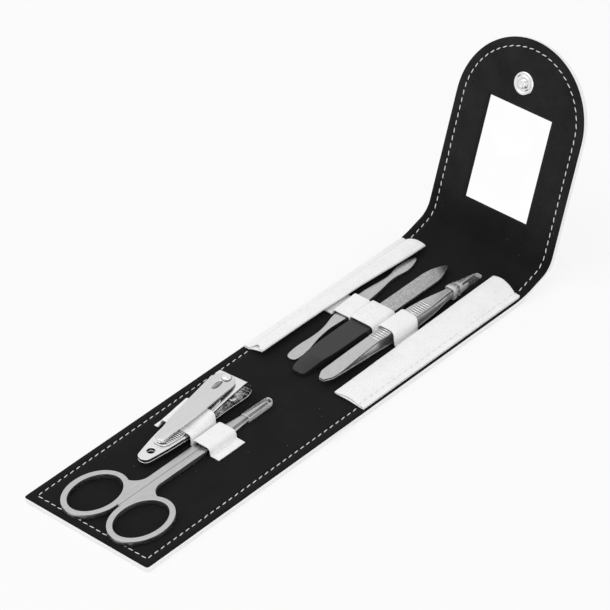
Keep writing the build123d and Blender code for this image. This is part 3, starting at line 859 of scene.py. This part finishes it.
def bandMesh(name, stations, thickness, material, place):
    # stations are (y, section line, share of the thickness)
    top, bottom = [], []
    for y, line, share in stations:
        upper, lower = [], []
        for k, p in enumerate(line):
            way = line[min(k + 1, len(line) - 1)] - line[max(k - 1, 0)]
            edge, shift = min(k, len(line) - 1 - k), y + (p.z if len(p) > 2 else 0.0)
            offset = Vector((-way.y, way.x)).normalized() * thickness / 2 * share * (0.55 if edge == 0 else 1.0)
            upper.append(place @ Vector((p.x + offset.x, shift, p.y + offset.y)))
            lower.append(place @ Vector((p.x - offset.x, shift, p.y - offset.y)))
        top.append(upper)
        bottom.append(lower)
    points, faces = shellFromGrids(top, bottom)
    return meshObject(name, points, faces, material, 50)


def bandRows(y0, y1, spacing=1.6):
    ends = [(0.0, 0.5), (0.08, 0.82), (0.25, 1.0)]
    many = int((y1 - y0) / spacing)
    inner = [(y0 + 0.25 + (y1 - y0 - 0.5) * k / many, 1.0) for k in range(1, many)]
    return [(y0 + d, share) for d, share in ends] + inner + [(y1 - d, share) for d, share in reversed(ends)]


# straps

lowerStrapLook = {
    "start": 61.2, "width": 14.4, "thickness": 0.62,
    "line": ((-23.4, 0.34, 0), (-21.6, 0.34, 0.9), (-19.55, 5.93, 2.0), (-4.97, 5.93, 1.6), (-4.55, 0.5, 0.3),
             (-3.75, 0.5, 0.3), (-3.42, 3.62, 1.9), (5.2, 3.62, 2.3), (5.5, 0.34, 0.6), (9.8, 0.34, 0)),
    "turned": ((-21.0, -4.0, 4.2),),  # from x, to x, degrees: the part that follows a turned tool
    "seams": (6.35,),
    "climb": (-4.4, 0.86, 1.15),  # left of this x, the loop's height at its near and far edge, as a share
}
middleStrapLook = {
    "start": 43.6, "width": 13.4, "thickness": 0.62,
    "line": ((-22.6, 0.34, 0), (-18.4, 0.34, 0.6), (-18.0, 2.95, 1.2), (-9.85, 2.95, 0.9), (-9.6, 0.36, 0.12),
             (-9.4, 0.36, 0.12), (-9.15, 3.95, 1.2), (2.35, 3.95, 1.5), (2.75, 0.36, 0.5), (5.2, 0.36, 0.5),
             (5.7, 6.95, 1.6), (13.55, 6.95, 2.0), (13.85, 0.34, 0.7), (19.0, 0.34, 0)),
    "turned": ((-19.0, -9.8, 4.0), (5.0, 14.0, -1.5)),
    "seams": (-9.6, 15.2),
}


def turnedAlong(p, off, turns):
    x = p.x
    for low, high, angle in turns:
        share = smoothStep(p.x, low - 1.2, low + 0.4) * (1 - smoothStep(p.x, high - 0.4, high + 1.2))
        share *= min(1.0, p.y / 2)
        x -= off * tan(radians(angle)) * share * 0.8
    return Vector((x, p.y))


def saggedPoint(p, y, look):
    # the section's point as it lies at y: each loop follows its tool and sags a little
    y0, width = look["start"], look["width"]
    limit, near, far = look.get("climb", (-99, 1, 1))
    height = p.y if p.x > limit else 0.34 + (p.y - 0.34) * (near + (far - near) * (y - y0) / width)
    height += 0.09 * noise.noise(Vector((p.x / 3, y / 4, 5.1))) * min(1, p.y)
    return turnedAlong(Vector((p.x, height)), y - (y0 + width / 2), look["turned"])


def makeStrap(name, look, body, node):
    place = panels[body]
    line = evenLine(filletedLine(look["line"]), 1.2)
    y0, y1 = look["start"], look["start"] + look["width"]
    stations = [(y, [saggedPoint(p, y, look) for p in line], share) for y, share in bandRows(y0, y1)]
    made = bandMesh(name, stations, look["thickness"], leatherette, place)
    finishPiece(made, body, "white_leather", node)
    up = Vector((0, 0, 1))
    marks = [y0 + 1.2 + (look["width"] - 2.4) * k / 8 for k in range(9)]
    runs = [[(place @ Vector((x, y, 0.72)), up) for y in marks] for x in look["seams"]]
    seam = stitchRuns(name + "Stitches", runs, strapStitchLook["count"], strapStitchLook)
    finishPiece(seam, body, "white_leather")
    return made


makeStrap("lowerStrap", lowerStrapLook, "lower_panel", "lower_strap")
makeStrap("middleStrap", middleStrapLook, "middle_panel", "middle_strap")
print("straps made")


# gussets: a strip folded double, stitched down at its hem and standing open at its inner fold

gussetLook = {
    "left": {
        # reach is (share of the length, width)
        "side": -1, "reach": ((0.0, 6.3), (0.25, 6.4), (0.5, 6.8), (0.75, 7.8), (1.0, 9.6)),
        "foldTop": (3.2, 3.4), "bulge": (0.5, 0.8), "lens": 0.7, "setBack": 2.2,
    },
    "right": {
        "side": 1, "reach": ((0.0, 11.7), (1.0, 10.4)),
        "foldTop": (1.5, 4.7), "bulge": (0.5, 1.3), "lens": 0.35, "setBack": 0.6,
    },
    "layer": 0.55,
    "hemOut": 0.9,
    "ends": (6.4, 98.9),
}


def gussetLine(look, share):
    layer, stitch = gussetLook["layer"], caseSize["stitchInset"]
    reach = valueAt(smoothLine(look["reach"], 0.05), min(max(share, 0.0), 1.0))
    top = look["foldTop"][0] + (look["foldTop"][1] - look["foldTop"][0]) * share - layer / 2
    bulge = look["bulge"][0] + (look["bulge"][1] - look["bulge"][0]) * share
    upper, lower = [], []
    for k in range(15):
        q = k / 14
        rise = 1.02 + (top - 1.02) * sin(q * pi / 2) ** 0.9 + bulge * sin(pi * q ** 0.85)
        apart = layer + 0.06 + look["lens"] * sin(pi * q) + 0.15 * q
        u = stitch + reach * q
        upper.append((u, rise, look["setBack"] * sin(pi * min(q * 1.15, 1.0)) * max(0.0, 1 - share * 9)))
        lower.append((u, max(rise - apart, 0.3 + 0.6 * smoothStep(q, 0.1, 0.4)), 0.0))
    across = (gussetLook["hemOut"], 1.4, 2.2, 3.0, 3.35)
    hem = [(u, h, 0) for u, h in zip(across, (0.92, 1.0, 1.05, 1.02, 0.93))]
    base = [(u, h, 0) for u, h in zip(across, (0.3, 0.29, 0.29, 0.29, 0.29))]
    upper[0] = (upper[0][0], 0.88, 0)
    high, low = upper[-1], lower[-1]
    middle, radius = (high[1] + low[1]) / 2, (high[1] - low[1]) / 2
    turn = [(high[0] + radius * sin(pi * k / 6), middle - radius * cos(pi * k / 6), 0) for k in range(1, 6)]
    line = base + lower + turn + upper[::-1] + hem[::-1]
    side = look["side"]
    return [Vector((side * (halfWidth - u), h, back)) for u, h, back in line]


def makeGusset(label):
    look = gussetLook[label]
    y0, y1 = gussetLook["ends"]
    stations = []
    for y, share in bandRows(y0, y1, 2.0):
        line = gussetLine(look, smoothStep((y - y0) / (y1 - y0), -0.1, 1.1))
        for p in line:
            p.y += 0.10 * noise.noise(Vector((p.x / 8, y / 9, 2.2))) * min(1, p.y / 2)
        stations.append((y, line, share))
    made = bandMesh(label + "Gusset", stations, gussetLook["layer"], leatherette, panels["middle_panel"])
    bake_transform(made)
    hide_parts(label + "_gusset_hem", label + "_gusset_wing")
    lineLength(gussetLine(look, 0.5)) * mm


for label in ("left", "right"):
    makeGusset(label)
print("gussets made")


# snap fastener: stud and cap on the flap, socket in the lower panel's back

snapLook = {
    "stud": ((0.0, 1.62), (0.35, 1.62), (0.75, 1.74), (1.1, 1.88), (1.55, 1.88), (1.85, 1.7), (1.9, 1.45), (1.72, 1.2),
             (1.52, 1.0), (1.5, 0.3), (1.75, 0.18), (2.0, 0.36), (2.5, 0.5), (3.0, 0.46), (3.25, 0.2), (3.45, 0.2),
             (3.7, 0.46), (4.2, 0.5), (4.55, 0.36), (4.7, 0.16), (4.65, 0.0)),
    "cap": ((0.0, 1.5), (1.5, 1.42), (3.0, 1.12), (4.4, 0.62), (5.3, 0.28), (5.75, 0.16), (5.8, 0.02)),
    "socket": ((0.0, -2.0), (1.95, -2.0), (2.05, -0.3), (2.2, -0.02), (2.5, 0.0), (2.9, -0.1), (3.5, -0.1), (3.9, 0.0),
               (4.7, 0.0), (4.95, -0.15), (5.0, -0.6)),
}


def turnedPiece(name, profile, place, material, segments=56):
    # the profile is (radius, height) from the axis out
    bm = bmesh.new()
    line = [bm.verts.new((r, 0, h)) for r, h in profile]
    edges = [bm.edges.new(pair) for pair in zip(line, line[1:])]
    bmesh.ops.spin(bm, geom=line + edges, cent=(0, 0, 0), axis=(0, 0, 1), angle=2 * pi, steps=segments, use_merge=True)
    bmesh.ops.remove_doubles(bm, verts=bm.verts, dist=1e-4)
    rim = [e for e in bm.edges if e.is_boundary]
    if rim:
        bmesh.ops.contextual_create(bm, geom=rim)
    bm.transform(place)
    bmesh.ops.recalc_face_normals(bm, faces=bm.faces)
    # the spin gives its faces in no fixed order, so they are put in one
    bm.verts.index_update()
    for k, face in enumerate(sorted(bm.faces, key=lambda f: [v.index for v in f.verts])):
        face.index = k
    bm.faces.sort()
    made = makeObject(name, meshFrom(bm, name), material)
    smoothed(made, 50)
    return made


def makeSnap(look):
    over = Matrix.Rotation(pi, 4, "X")
    for part, body, reach, height, turn in (
        ("stud", "flap", snapPlace["flapReach"], 0, Matrix()),
        ("cap", "flap", snapPlace["flapReach"], -2.78, over),
        ("socket", "lower_panel", snapPlace["socketReach"], -2.8, over),
    ):
        place = panels[body] @ Matrix.Translation((snapPlace["x"], reach, height)) @ turn
        made = turnedPiece("snap" + part.capitalize(), look[part], place, nickel)
        finishPiece(made, body, "snap_metal", "snap_" + part)


makeSnap(snapLook)
print("snap made")


# tools: each is drawn flat as its outline, given rounded edges, then bent to its side view

lowerTools = panels["lower_panel"]
middleTools = panels["middle_panel"]


def toolPlace(panel, x, y, heading):
    return panel @ Matrix.Translation((x, y, 0)) @ Matrix.Rotation(radians(heading), 4, "Z")


def twoSided(stations, spacing=0.8):
    right = smoothLine(stations, spacing)
    return [(w, v) for v, w in right] + [(-w, v) for v, w in reversed(right)]


def oval(x, y, rx, ry, steps=28):
    return [(x + rx * cos(2 * pi * k / steps), y + ry * sin(2 * pi * k / steps)) for k in range(steps)]


def stampedMesh(name, loops, thickness, edge, bend, place, cuts=(), segments=2):
    drawn = bpy.data.curves.new(name, "CURVE")
    drawn.dimensions, drawn.fill_mode = "2D", "BOTH"
    drawn.extrude, drawn.offset = thickness / 2 - edge, -edge
    drawn.bevel_depth, drawn.bevel_resolution = edge, segments
    for loop in loops:
        spline = drawn.splines.new("POLY")
        spline.points.add(len(loop) - 1)
        for point, (x, y) in zip(spline.points, loop):
            point.co = (x, y, 0, 1)
        spline.use_cyclic_u = True
    made = makeObject(name, drawn)
    flat = evaluatedMesh(made)
    bpy.data.objects.remove(made)
    bm = bmesh.new()
    bm.from_mesh(flat)
    bmesh.ops.remove_doubles(bm, verts=bm.verts, dist=1e-4)
    for v in cuts:
        everything = bm.verts[:] + bm.edges[:] + bm.faces[:]
        bmesh.ops.bisect_plane(bm, geom=everything, plane_co=(0, v, 0), plane_no=(0, 1, 0), dist=1e-4)
    for vertex in bm.verts:
        vertex.co = place @ Vector(bend(*vertex.co))
    bmesh.ops.recalc_face_normals(bm, faces=bm.faces)
    return meshFrom(bm, name)


def stampedPiece(name, loops, thickness, edge, bend, place, material, cuts=(), segments=2, sharpAngle=32):
    made = makeObject(name, stampedMesh(name, loops, thickness, edge, bend, place, cuts, segments), material)
    smoothed(made, sharpAngle)
    return made


def paintedHighlightRim(piece, level):
    # faces that stand up round a plate's edge get the glossier bright steel, whose lighter grey is a painted highlight
    # along the edge
    piece.data.materials.append(brightSteel)
    for face in piece.data.polygons:
        if abs(face.normal.z) < level:
            face.material_index = 1


def evenCuts(start, end, step):
    return [start + step * k for k in range(int((end - start) / step) + 1)]


def easedCopy(node, name, width, material, segments=2, sharpAngle=35):
    bm = bmesh.new()
    bm.from_mesh(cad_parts[node].data)
    bmesh.ops.remove_doubles(bm, verts=bm.verts, dist=2e-6)
    bmesh.ops.dissolve_limit(bm, angle_limit=radians(0.8), verts=bm.verts, edges=bm.edges)
    made = makeObject(name, meshFrom(bm, name), material)
    ease = made.modifiers.new("ease", "BEVEL")
    ease.width, ease.segments = width * mm, segments
    ease.limit_method, ease.angle_limit = "ANGLE", radians(30)
    applied(made)
    smoothed(made, sharpAngle)
    return made


# ribs: a run of bars along a tool, each lying across it

def ribRow(name, place, line, marks, look, body, slotName, tree=None):
    # marks are (first, last, how many, length)
    first, last, many, length = marks
    turn = place.to_3x3()
    up, across = turn @ Vector((0, 0, 1 / mm)), (turn @ Vector((1, 0, 0))).normalized()
    run = [(place @ Vector((0, v, valueAt(line, v))), up) for v in evenCuts(first, last + 0.01, (last - first) / 12)]
    made = stitchRuns(name, [run], many, {**look, "length": length}, tree or ribTree, brightSteel, across)
    return finishPiece(made, body, slotName)


ribLook = {"width": 0.56, "rise": 0.24, "lean": 0.0, "wander": 0.0}
tweezersRibLook = {"width": 0.66, "rise": 0.3, "lean": 0.0, "wander": 0.0}


# scissors

scissorsLook = {"edge": 0.42, "screwEdge": 0.15}
for side in ("left", "right"):
    node = "scissors_" + side + "_half"
    half = easedCopy(node, "scissors" + side.capitalize(), scissorsLook["edge"], satinSteel, 3)
    finishPiece(half, "scissors_" + side, "satin_steel", node)
screw = easedCopy("scissors_screw", "scissorsScrew", scissorsLook["screwEdge"], brightSteel)
finishPiece(screw, "scissors", "satin_steel", "scissors_screw")


# clear tubes: a wall round a soft rectangle that narrows along the tool

def softRectangle(halfX, halfZ, radius, steps=5):
    ring = []
    for cx, cz, start in ((1, 1, 0), (-1, 1, 90), (-1, -1, 180), (1, -1, 270)):
        for k in range(steps + 1):
            a = radians(start + 90 * k / steps)
            ring.append(((halfX - radius) * cx + radius * cos(a), (halfZ - radius) * cz + radius * sin(a)))
    return ring


def tubePiece(name, look, place):
    # stations are (v, x, z, half width, half height, corner radius)
    stations, wall = look["stations"], look["wall"]
    outer = [[(x + a, v, z + b) for a, b in softRectangle(hx, hz, r)] for v, x, z, hx, hz, r in stations]
    inner = [[(x + a, v, z + b) for a, b in softRectangle(hx - wall, hz - wall, max(r - wall, 0.1))]
             for v, x, z, hx, hz, r in stations]
    rings = outer + inner[::-1]
    many = len(rings[0])
    points = [place @ Vector(p) for ring in rings for p in ring]
    faces = []
    for i in range(len(rings)):
        for j in range(many):
            a, b = i * many, ((i + 1) % len(rings)) * many
            faces.append((a + j, a + (j + 1) % many, b + (j + 1) % many, b + j))
    made = meshObject(name, points, faces, vinyl, 50)
    # the crease attribute marks the sides and the end bands that get the painted highlight
    crease = made.data.attributes.new("crease", "FLOAT", "POINT")
    back = place.inverted()
    for vertex, value in zip(made.data.vertices, crease.data):
        x, v, z = back @ Vector(vertex.co)
        near = min(stations, key=lambda station: abs(station[0] - v))
        atEnd = any(low <= v <= high for low, high in look["paintedHighlight"])
        value.value = 1.0 if atEnd or abs(x - near[1]) > near[3] - look["sides"] else 0.0
    return made


sleeveHalves = ((85.5, 2.08), (86.0, 2.12), (96.8, 1.98), (98.2, 1.84), (98.9, 1.6), (99.2, 1.3))
sleeveLook = {
    "stations": [(v, 0.95, 1.4, half, 1.38, 0.75) for v, half in sleeveHalves],
    "wall": 0.3,
    "paintedHighlight": ((85.0, 85.6), (98.8, 99.3)),  # bands along the tool that carry the painted highlight
    "sides": 0.3,  # width of the side edges that carry the painted highlight
}
sleeve = tubePiece("scissorsSleeve", sleeveLook, lowerTools)
finishPiece(sleeve, "sleeve", "clear_vinyl", "scissors_sleeve")
print("scissors made")


# nail clipper

clipperPlace = toolPlace(lowerTools, -10.2, 40.3, 4.2)
clipperLook = {
    "armThickness": 1.0,
    "halfWidths": ((0.0, 0.25), (0.35, 1.5), (1.4, 2.55), (3.2, 3.05), (6.0, 3.6), (10.0, 4.35), (15.0, 5.1),
                   (22.0, 5.75), (32.0, 5.9), (45.0, 6.1), (53.0, 6.55), (57.6, 6.6), (58.4, 6.1)),
    "lowerSide": ((0.0, 1.95), (18.0, 1.95), (24.0, 1.85), (40.0, 1.24), (53.0, 0.72), (55.3, 0.72), (57.0, 1.1),
                  (58.4, 1.85)),
    "upperSide": ((0.0, 3.4), (18.0, 3.4), (24.0, 3.62), (30.0, 4.42), (54.0, 7.52), (55.4, 7.45), (56.6, 6.55),
                  (57.7, 5.05), (58.4, 3.85)),
    "chainHole": (6.0, 1.7),
    "pinAt": 51.4,
    "pinHole": 1.6,
    "stripPlan": ((9.9, 0.5), (10.1, 1.9), (10.8, 2.9), (14.0, 3.9), (21.0, 4.75), (40.0, 5.0), (42.4, 4.2),
                  (43.6, 2.0), (43.8, 0.4)),
    "stripSide": ((10.0, 4.32), (18.0, 4.32), (24.0, 4.56), (30.0, 5.36), (43.6, 7.12)),
    "ribs": (12.6, 22.6, 11, 7.6),
    "rivetAt": 12.4,
    "rivet": ((0, 5.14), (0.9, 5.08), (1.5, 4.9), (1.7, 4.68), (1.1, 4.6), (1.1, 1.4), (1.7, 1.38), (1.5, 1.0),
              (0.8, 0.9), (0, 0.88)),
    "pin": ((0, 10.7), (0.8, 10.64), (1.5, 10.4), (1.9, 10.1), (1.95, 9.92), (1.1, 9.8), (0.75, 9.4), (0.75, 9.1),
            (1.1, 8.5), (1.1, 0.75), (1.95, 0.62), (1.95, 0.2), (1.7, 0.12), (0, 0.12)),
    "leverThickness": 0.95,
    "slot": (-0.5, 46.4, 1.3, 2.9),  # x, y and the two radii
    "window": 1.8,  # radius of the lever's opening round the pin
    "trim": 0.14,  # the lever's right side is this much narrower towards the head
    "lever": ((10.4, 0.4), (10.6, 1.2), (11.3, 1.95), (13.0, 2.35), (18.0, 3.05), (24.0, 3.7), (34.0, 4.6), (43.0, 5.3),
              (47.2, 5.6), (49.6, 5.4), (51.4, 4.7), (52.7, 3.5), (53.5, 1.9), (53.75, 0.5)),
    "leverSide": ((10.4, 5.75), (12.5, 6.1), (16.0, 6.7), (22.0, 7.32), (53.3, 9.28), (54.0, 9.3)),
}


def makeClipper(look):
    def along(line):
        return lambda x, y, z: (x, y, z + valueAt(line, y))

    cuts = evenCuts(16.0, 32.0, 1.0) + evenCuts(36.0, 52.0, 4.0) + evenCuts(52.6, 58.2, 0.4)
    holeAt, holeRadius = look["chainHole"]
    loops = [twoSided(look["halfWidths"], 0.5), oval(0, holeAt, holeRadius, holeRadius),
             oval(0, look["pinAt"], look["pinHole"], look["pinHole"])]
    for way, body in (("lower", "clipper"), ("upper", "clipper_top")):
        arm = stampedPiece("clipper" + way.capitalize() + "Arm", loops, look["armThickness"], 0.16,
                           along(smoothLine(look[way + "Side"])), clipperPlace, brightSteel, cuts)
        finishPiece(arm, body, "bright_steel", "clipper_" + way + "_arm")

    strip = smoothLine(look["stripSide"])
    file = stampedPiece("clipperFile", [twoSided(look["stripPlan"])], 0.54, 0.1, along(strip), clipperPlace,
                        brightSteel, evenCuts(16.0, 32.0, 1.0))
    finishPiece(file, "clipper", "file_steel", "clipper_file")
    ridge = [(v, h + 0.2) for v, h in strip]
    ribRow("clipperRibs", clipperPlace, ridge, look["ribs"], ribLook, "clipper", "file_steel")

    lever = smoothLine(look["leverSide"])
    slot = oval(*look["slot"])
    window = oval(0, look["pinAt"] + 0.1, look["window"], look["window"], 24)

    def leverBend(x, y, z):
        return x * (1 - look["trim"] * smoothStep(y, 30, 46) * (x > 0)), y, z + valueAt(lever, y)

    plate = stampedPiece("clipperLever", [twoSided(look["lever"], 0.5), slot, window], look["leverThickness"], 0.3,
                         leverBend, clipperPlace, leverSteel, evenCuts(11.0, 24.0, 1.0), 3)
    # the lever's edge faces carry a painted highlight in a lighter steel
    paintedHighlightRim(plate, 0.8)
    finishPiece(plate, "lever", "bright_steel", "clipper_lever")

    for part, body, segments in (("rivet", "clipper", 28), ("pin", "clipper_post", 32)):
        place = clipperPlace @ Matrix.Translation((0, look[part + "At"], 0))
        made = turnedPiece("clipper" + part.capitalize(), look[part], place, brightSteel, segments)
        finishPiece(made, body, "bright_steel", "clipper_" + part)


makeClipper(clipperLook)
print("clipper made")


# cuticle tool, nail file and tweezers

cuticlePlace = toolPlace(middleTools, -11.4, 11.6, 4.0)
cuticleLook = {
    "halfWidths": ((0.0, 0.5), (0.25, 1.4), (1.0, 2.15), (3.0, 2.6), (6.5, 2.72), (10.0, 2.35), (15.0, 1.55),
                   (20.0, 1.2), (24.0, 1.45), (29.0, 2.35), (35.0, 2.85), (47.0, 2.85), (53.0, 2.5), (57.5, 1.95),
                   (62.0, 1.4), (66.0, 1.5), (71.5, 2.5), (74.5, 2.45), (77.0, 1.9), (79.4, 1.2), (80.7, 0.3)),
    "heights": ((0.0, 0.9), (8.0, 1.1), (20.0, 1.5), (30.0, 2.1), (48.0, 2.1), (60.0, 1.5), (70.0, 1.3), (80.7, 1.0)),
}


def makeCuticleTool(look):
    heights = smoothLine(look["heights"], 2.0)

    def side(x, y, z):
        tall = valueAt(heights, y)
        crown = 0.16 * (1 - smoothStep(abs(x), 0.3, 1.6)) * smoothStep(y, 22, 30) * (1 - smoothStep(y, 50, 57))
        spoon = 0.22 * (1 - smoothStep(hypot(x / 2.0, (y - 6.0) / 6.0), 0.2, 1.0))
        return x, y, 0.1 + (z + 0.5) * tall + (crown - spoon if z > 0 else 0)

    made = stampedPiece("cuticleTool", [twoSided(look["halfWidths"])], 1.0, 0.18, side, cuticlePlace, satinSteel,
                        evenCuts(1.0, 80.0, 1.5))
    finishPiece(made, "cuticle_tool", "satin_steel", "cuticle_tool")


makeCuticleTool(cuticleLook)

filePlace = toolPlace(middleTools, -3.3, 6.4, 0.0)
fileLook = {
    "handle": ((0.0, 1.6), (0.25, 2.4), (1.1, 3.1), (3.0, 3.6), (9.0, 4.2), (17.0, 4.85), (26.0, 5.0), (44.5, 5.0),
               (45.7, 4.8), (46.0, 4.4)),
    "handleTop": ((0.0, 1.75), (3.5, 2.3), (8.2, 3.05), (9.6, 3.3), (14.0, 3.3), (46.0, 3.3)),
    "bladeStart": (3.8, 32.0),
    "blade": ((77.5, 3.8), (80.5, 3.5), (83.5, 2.75), (86.0, 1.75), (87.8, 0.85), (88.6, 0.25)),
    "bladeHeight": 1.7,
}


def makeNailFile(look):
    tops = smoothLine(look["handleTop"], 1.0)

    def handleSide(x, y, z):
        return x, y, 0.1 + (z + 0.5) * (valueAt(tops, y) - 0.1)

    handle = stampedPiece("fileHandle", [twoSided(look["handle"])], 1.0, 0.22, handleSide, filePlace, handlePlastic,
                          evenCuts(1.0, 14.0, 1.0), 3)
    finishPiece(handle, "nail_file", "black_handle", "nail_file_handle")
    right = [look["bladeStart"]] + [(w, v) for v, w in smoothLine(look["blade"])]
    outline = right + [(-w, v) for w, v in reversed(right)]
    blade = stampedPiece("fileBlade", [outline], 0.96, 0.12, lambda x, y, z: (x, y, z + look["bladeHeight"]), filePlace,
                         abrasive)
    finishPiece(blade, "nail_file", "file_steel", "nail_file_blade")


makeNailFile(fileLook)

tweezersPlace = toolPlace(middleTools, 8.5, 7.2, -1.5)
tweezersLook = {
    "halfWidths": ((0.0, 1.0), (0.25, 1.3), (2.9, 2.75), (3.6, 2.98), (6.0, 3.15), (10.0, 3.15), (16.0, 2.92),
                   (22.0, 2.7), (29.0, 2.55), (36.0, 2.75), (50.0, 3.25), (56.0, 3.1), (61.0, 2.75), (66.0, 2.1),
                   (70.5, 1.45), (75.0, 1.1), (80.0, 0.8), (84.0, 0.4)),
    "arms": ((0.0, 0.42), (7.0, 0.48), (13.0, 1.0), (22.0, 1.85), (34.0, 2.5), (52.0, 2.55), (62.0, 2.15), (72.0, 1.6),
             (84.0, 1.12)),
    "middle": 3.2,
    "thickness": 0.95,
    "ribs": ((29.9, 36.4, 6, 5.1), (50.2, 59.2, 8, 5.5)),
}
mid = tweezersLook["middle"]
capLook = {
    "stations": ((73.3, 0, mid, 2.3, 2.66, 0.95), (73.55, 0, mid, 2.42, 2.76, 1.0), (76.9, 0, mid, 2.36, 2.68, 1.0),
                 (77.15, 0, mid, 2.22, 2.56, 0.95), (77.3, 0, mid, 2.0, 2.3, 0.9), (80.5, 0, mid, 1.85, 1.95, 0.85),
                 (84.6, 0, mid - 0.15, 1.7, 1.45, 0.7), (88.6, 0, mid - 0.4, 1.55, 0.9, 0.5),
                 (90.4, 0.15, mid - 0.6, 1.35, 0.6, 0.35)),
    "wall": 0.28,
    # the cap's rims carry the same painted highlight
    "paintedHighlight": ((73.0, 73.6), (77.0, 77.6), (90.2, 90.5)),
    "sides": 0.0,
}


def makeTweezers(look):
    arms = smoothLine(look["arms"], 1.5)
    for way, name, body in ((-1, "lower", "tweezers"), (1, "upper", "tweezers_top")):

        def side(x, y, z):
            end = 1.0 - 0.55 * (1 - smoothStep(y, -0.2, 2.6))
            return x, y, look["middle"] + way * valueAt(arms, y) + z * end

        made = stampedPiece("tweezers" + name.capitalize() + "Arm", [twoSided(look["halfWidths"])], look["thickness"],
                            0.2, side, tweezersPlace, satinSteel, evenCuts(0.5, 83.5, 1.5), 3)
        finishPiece(made, body, "satin_steel", "tweezers_" + name + "_arm")
    top = [(v, look["middle"] + h + look["thickness"] / 2 - 0.06) for v, h in arms]
    for k, marks in enumerate(look["ribs"]):
        first, last, _, length = marks
        low, high, half = first - 0.4, last + 0.4, length / 2
        paintedShadeBed = [(half, low), (half, high), (-half, high), (-half, low)]
        # a darker steel plate under each row of ribs: painted shade in the grooves between them
        floor = stampedPiece("tweezersPaintedShade%d" % (k + 1), [paintedShadeBed], 0.16, 0.03,
                             lambda x, y, z: (x, y, z + valueAt(top, y) + 0.04), tweezersPlace, paintedShadeSteel,
                             evenCuts(first, last, 1.5))
        finishPiece(floor, "tweezers_top", "satin_steel")
        # the ribs are in the bright steel, lighter than the satin arm: a painted highlight on their tops
        ribRow("tweezersRibs%d" % (k + 1), tweezersPlace, top, marks, tweezersRibLook, "tweezers_top", "satin_steel",
               barTree)
    finishPiece(tubePiece("tweezersCap", capLook, tweezersPlace), "tweezers", "clear_vinyl", "tweezers_cap")


makeTweezers(tweezersLook)
print("tools made")


# floor and light

floorLook = {"half": 4, "level": 0.9, "shownWhite": 0.75}
lightLook = {
    "world": 0.80,
    # watts, metres across, place
    "keyLight": (4.2, 1.3, (-0.55, -0.55, 1.3)),
    "fillLight": (2.2, 1.0, (1.1, -0.7, 0.55)),
}


def joined(tree, *pairs):
    for one, two in pairs:
        tree.links.new(one, two)


def shownRays(tree):
    # 1 for the rays that show a white background, 0 for those that light the case
    path = addNode(tree, "LightPath")
    first, both = addNode(tree, "Math", operation="MAXIMUM"), addNode(tree, "Math", operation="MAXIMUM")
    joined(tree, (path.outputs["Is Camera Ray"], first.inputs[0]), (path.outputs["Is Glossy Ray"], first.inputs[1]),
           (first.outputs[0], both.inputs[0]), (path.outputs["Is Transmission Ray"], both.inputs[1]))
    return both.outputs[0]


def makeFloor(look):
    mesh, half = bpy.data.meshes.new("floor"), look["half"]
    mesh.from_pydata([(x * half, y * half, 0) for x, y in ((-1, -1), (1, -1), (1, 1), (-1, 1))], [], [(0, 1, 2, 3)])
    material = bpy.data.materials.new("paleFloor")
    material.use_nodes = True
    tree = material.node_tree
    tree.nodes.clear()
    out, matte = addNode(tree, "OutputMaterial"), addNode(tree, "BsdfDiffuse", Color=(*grey(look["level"]), 1))
    glow, mix = addNode(tree, "Emission", Strength=1.0), addNode(tree, "MixShader")
    share = addNode(tree, "Math", operation="MULTIPLY")
    share.inputs[1].default_value = look["shownWhite"]
    joined(tree, (shownRays(tree), share.inputs[0]), (share.outputs[0], mix.inputs["Fac"]),
           (matte.outputs[0], mix.inputs[1]), (glow.outputs[0], mix.inputs[2]), (mix.outputs[0], out.inputs["Surface"]))
    makeObject("floor", mesh, material)


def makeLights(look):
    world = bpy.data.worlds.new("studio")
    scene.world = world
    world.use_nodes = True
    tree = world.node_tree
    air = tree.nodes["Background"]
    air.inputs["Strength"].default_value = 1.0
    joined(tree, (mixed(tree, shownRays(tree), grey(look["world"]), grey(1.0)), air.inputs["Color"]))
    for name in ("keyLight", "fillLight"):
        power, size, place = look[name]
        data = bpy.data.lights.new(name, "AREA")
        data.energy, data.size = power, size
        lamp = bpy.data.objects.new(name, data)
        scene.collection.objects.link(lamp)
        lamp.location = place
        lamp.rotation_euler = (-Vector(place)).to_track_quat("-Z", "Y").to_euler()


makeFloor(floorLook)
makeLights(lightLook)
scene.view_settings.view_transform = "Standard"
print("stage set")
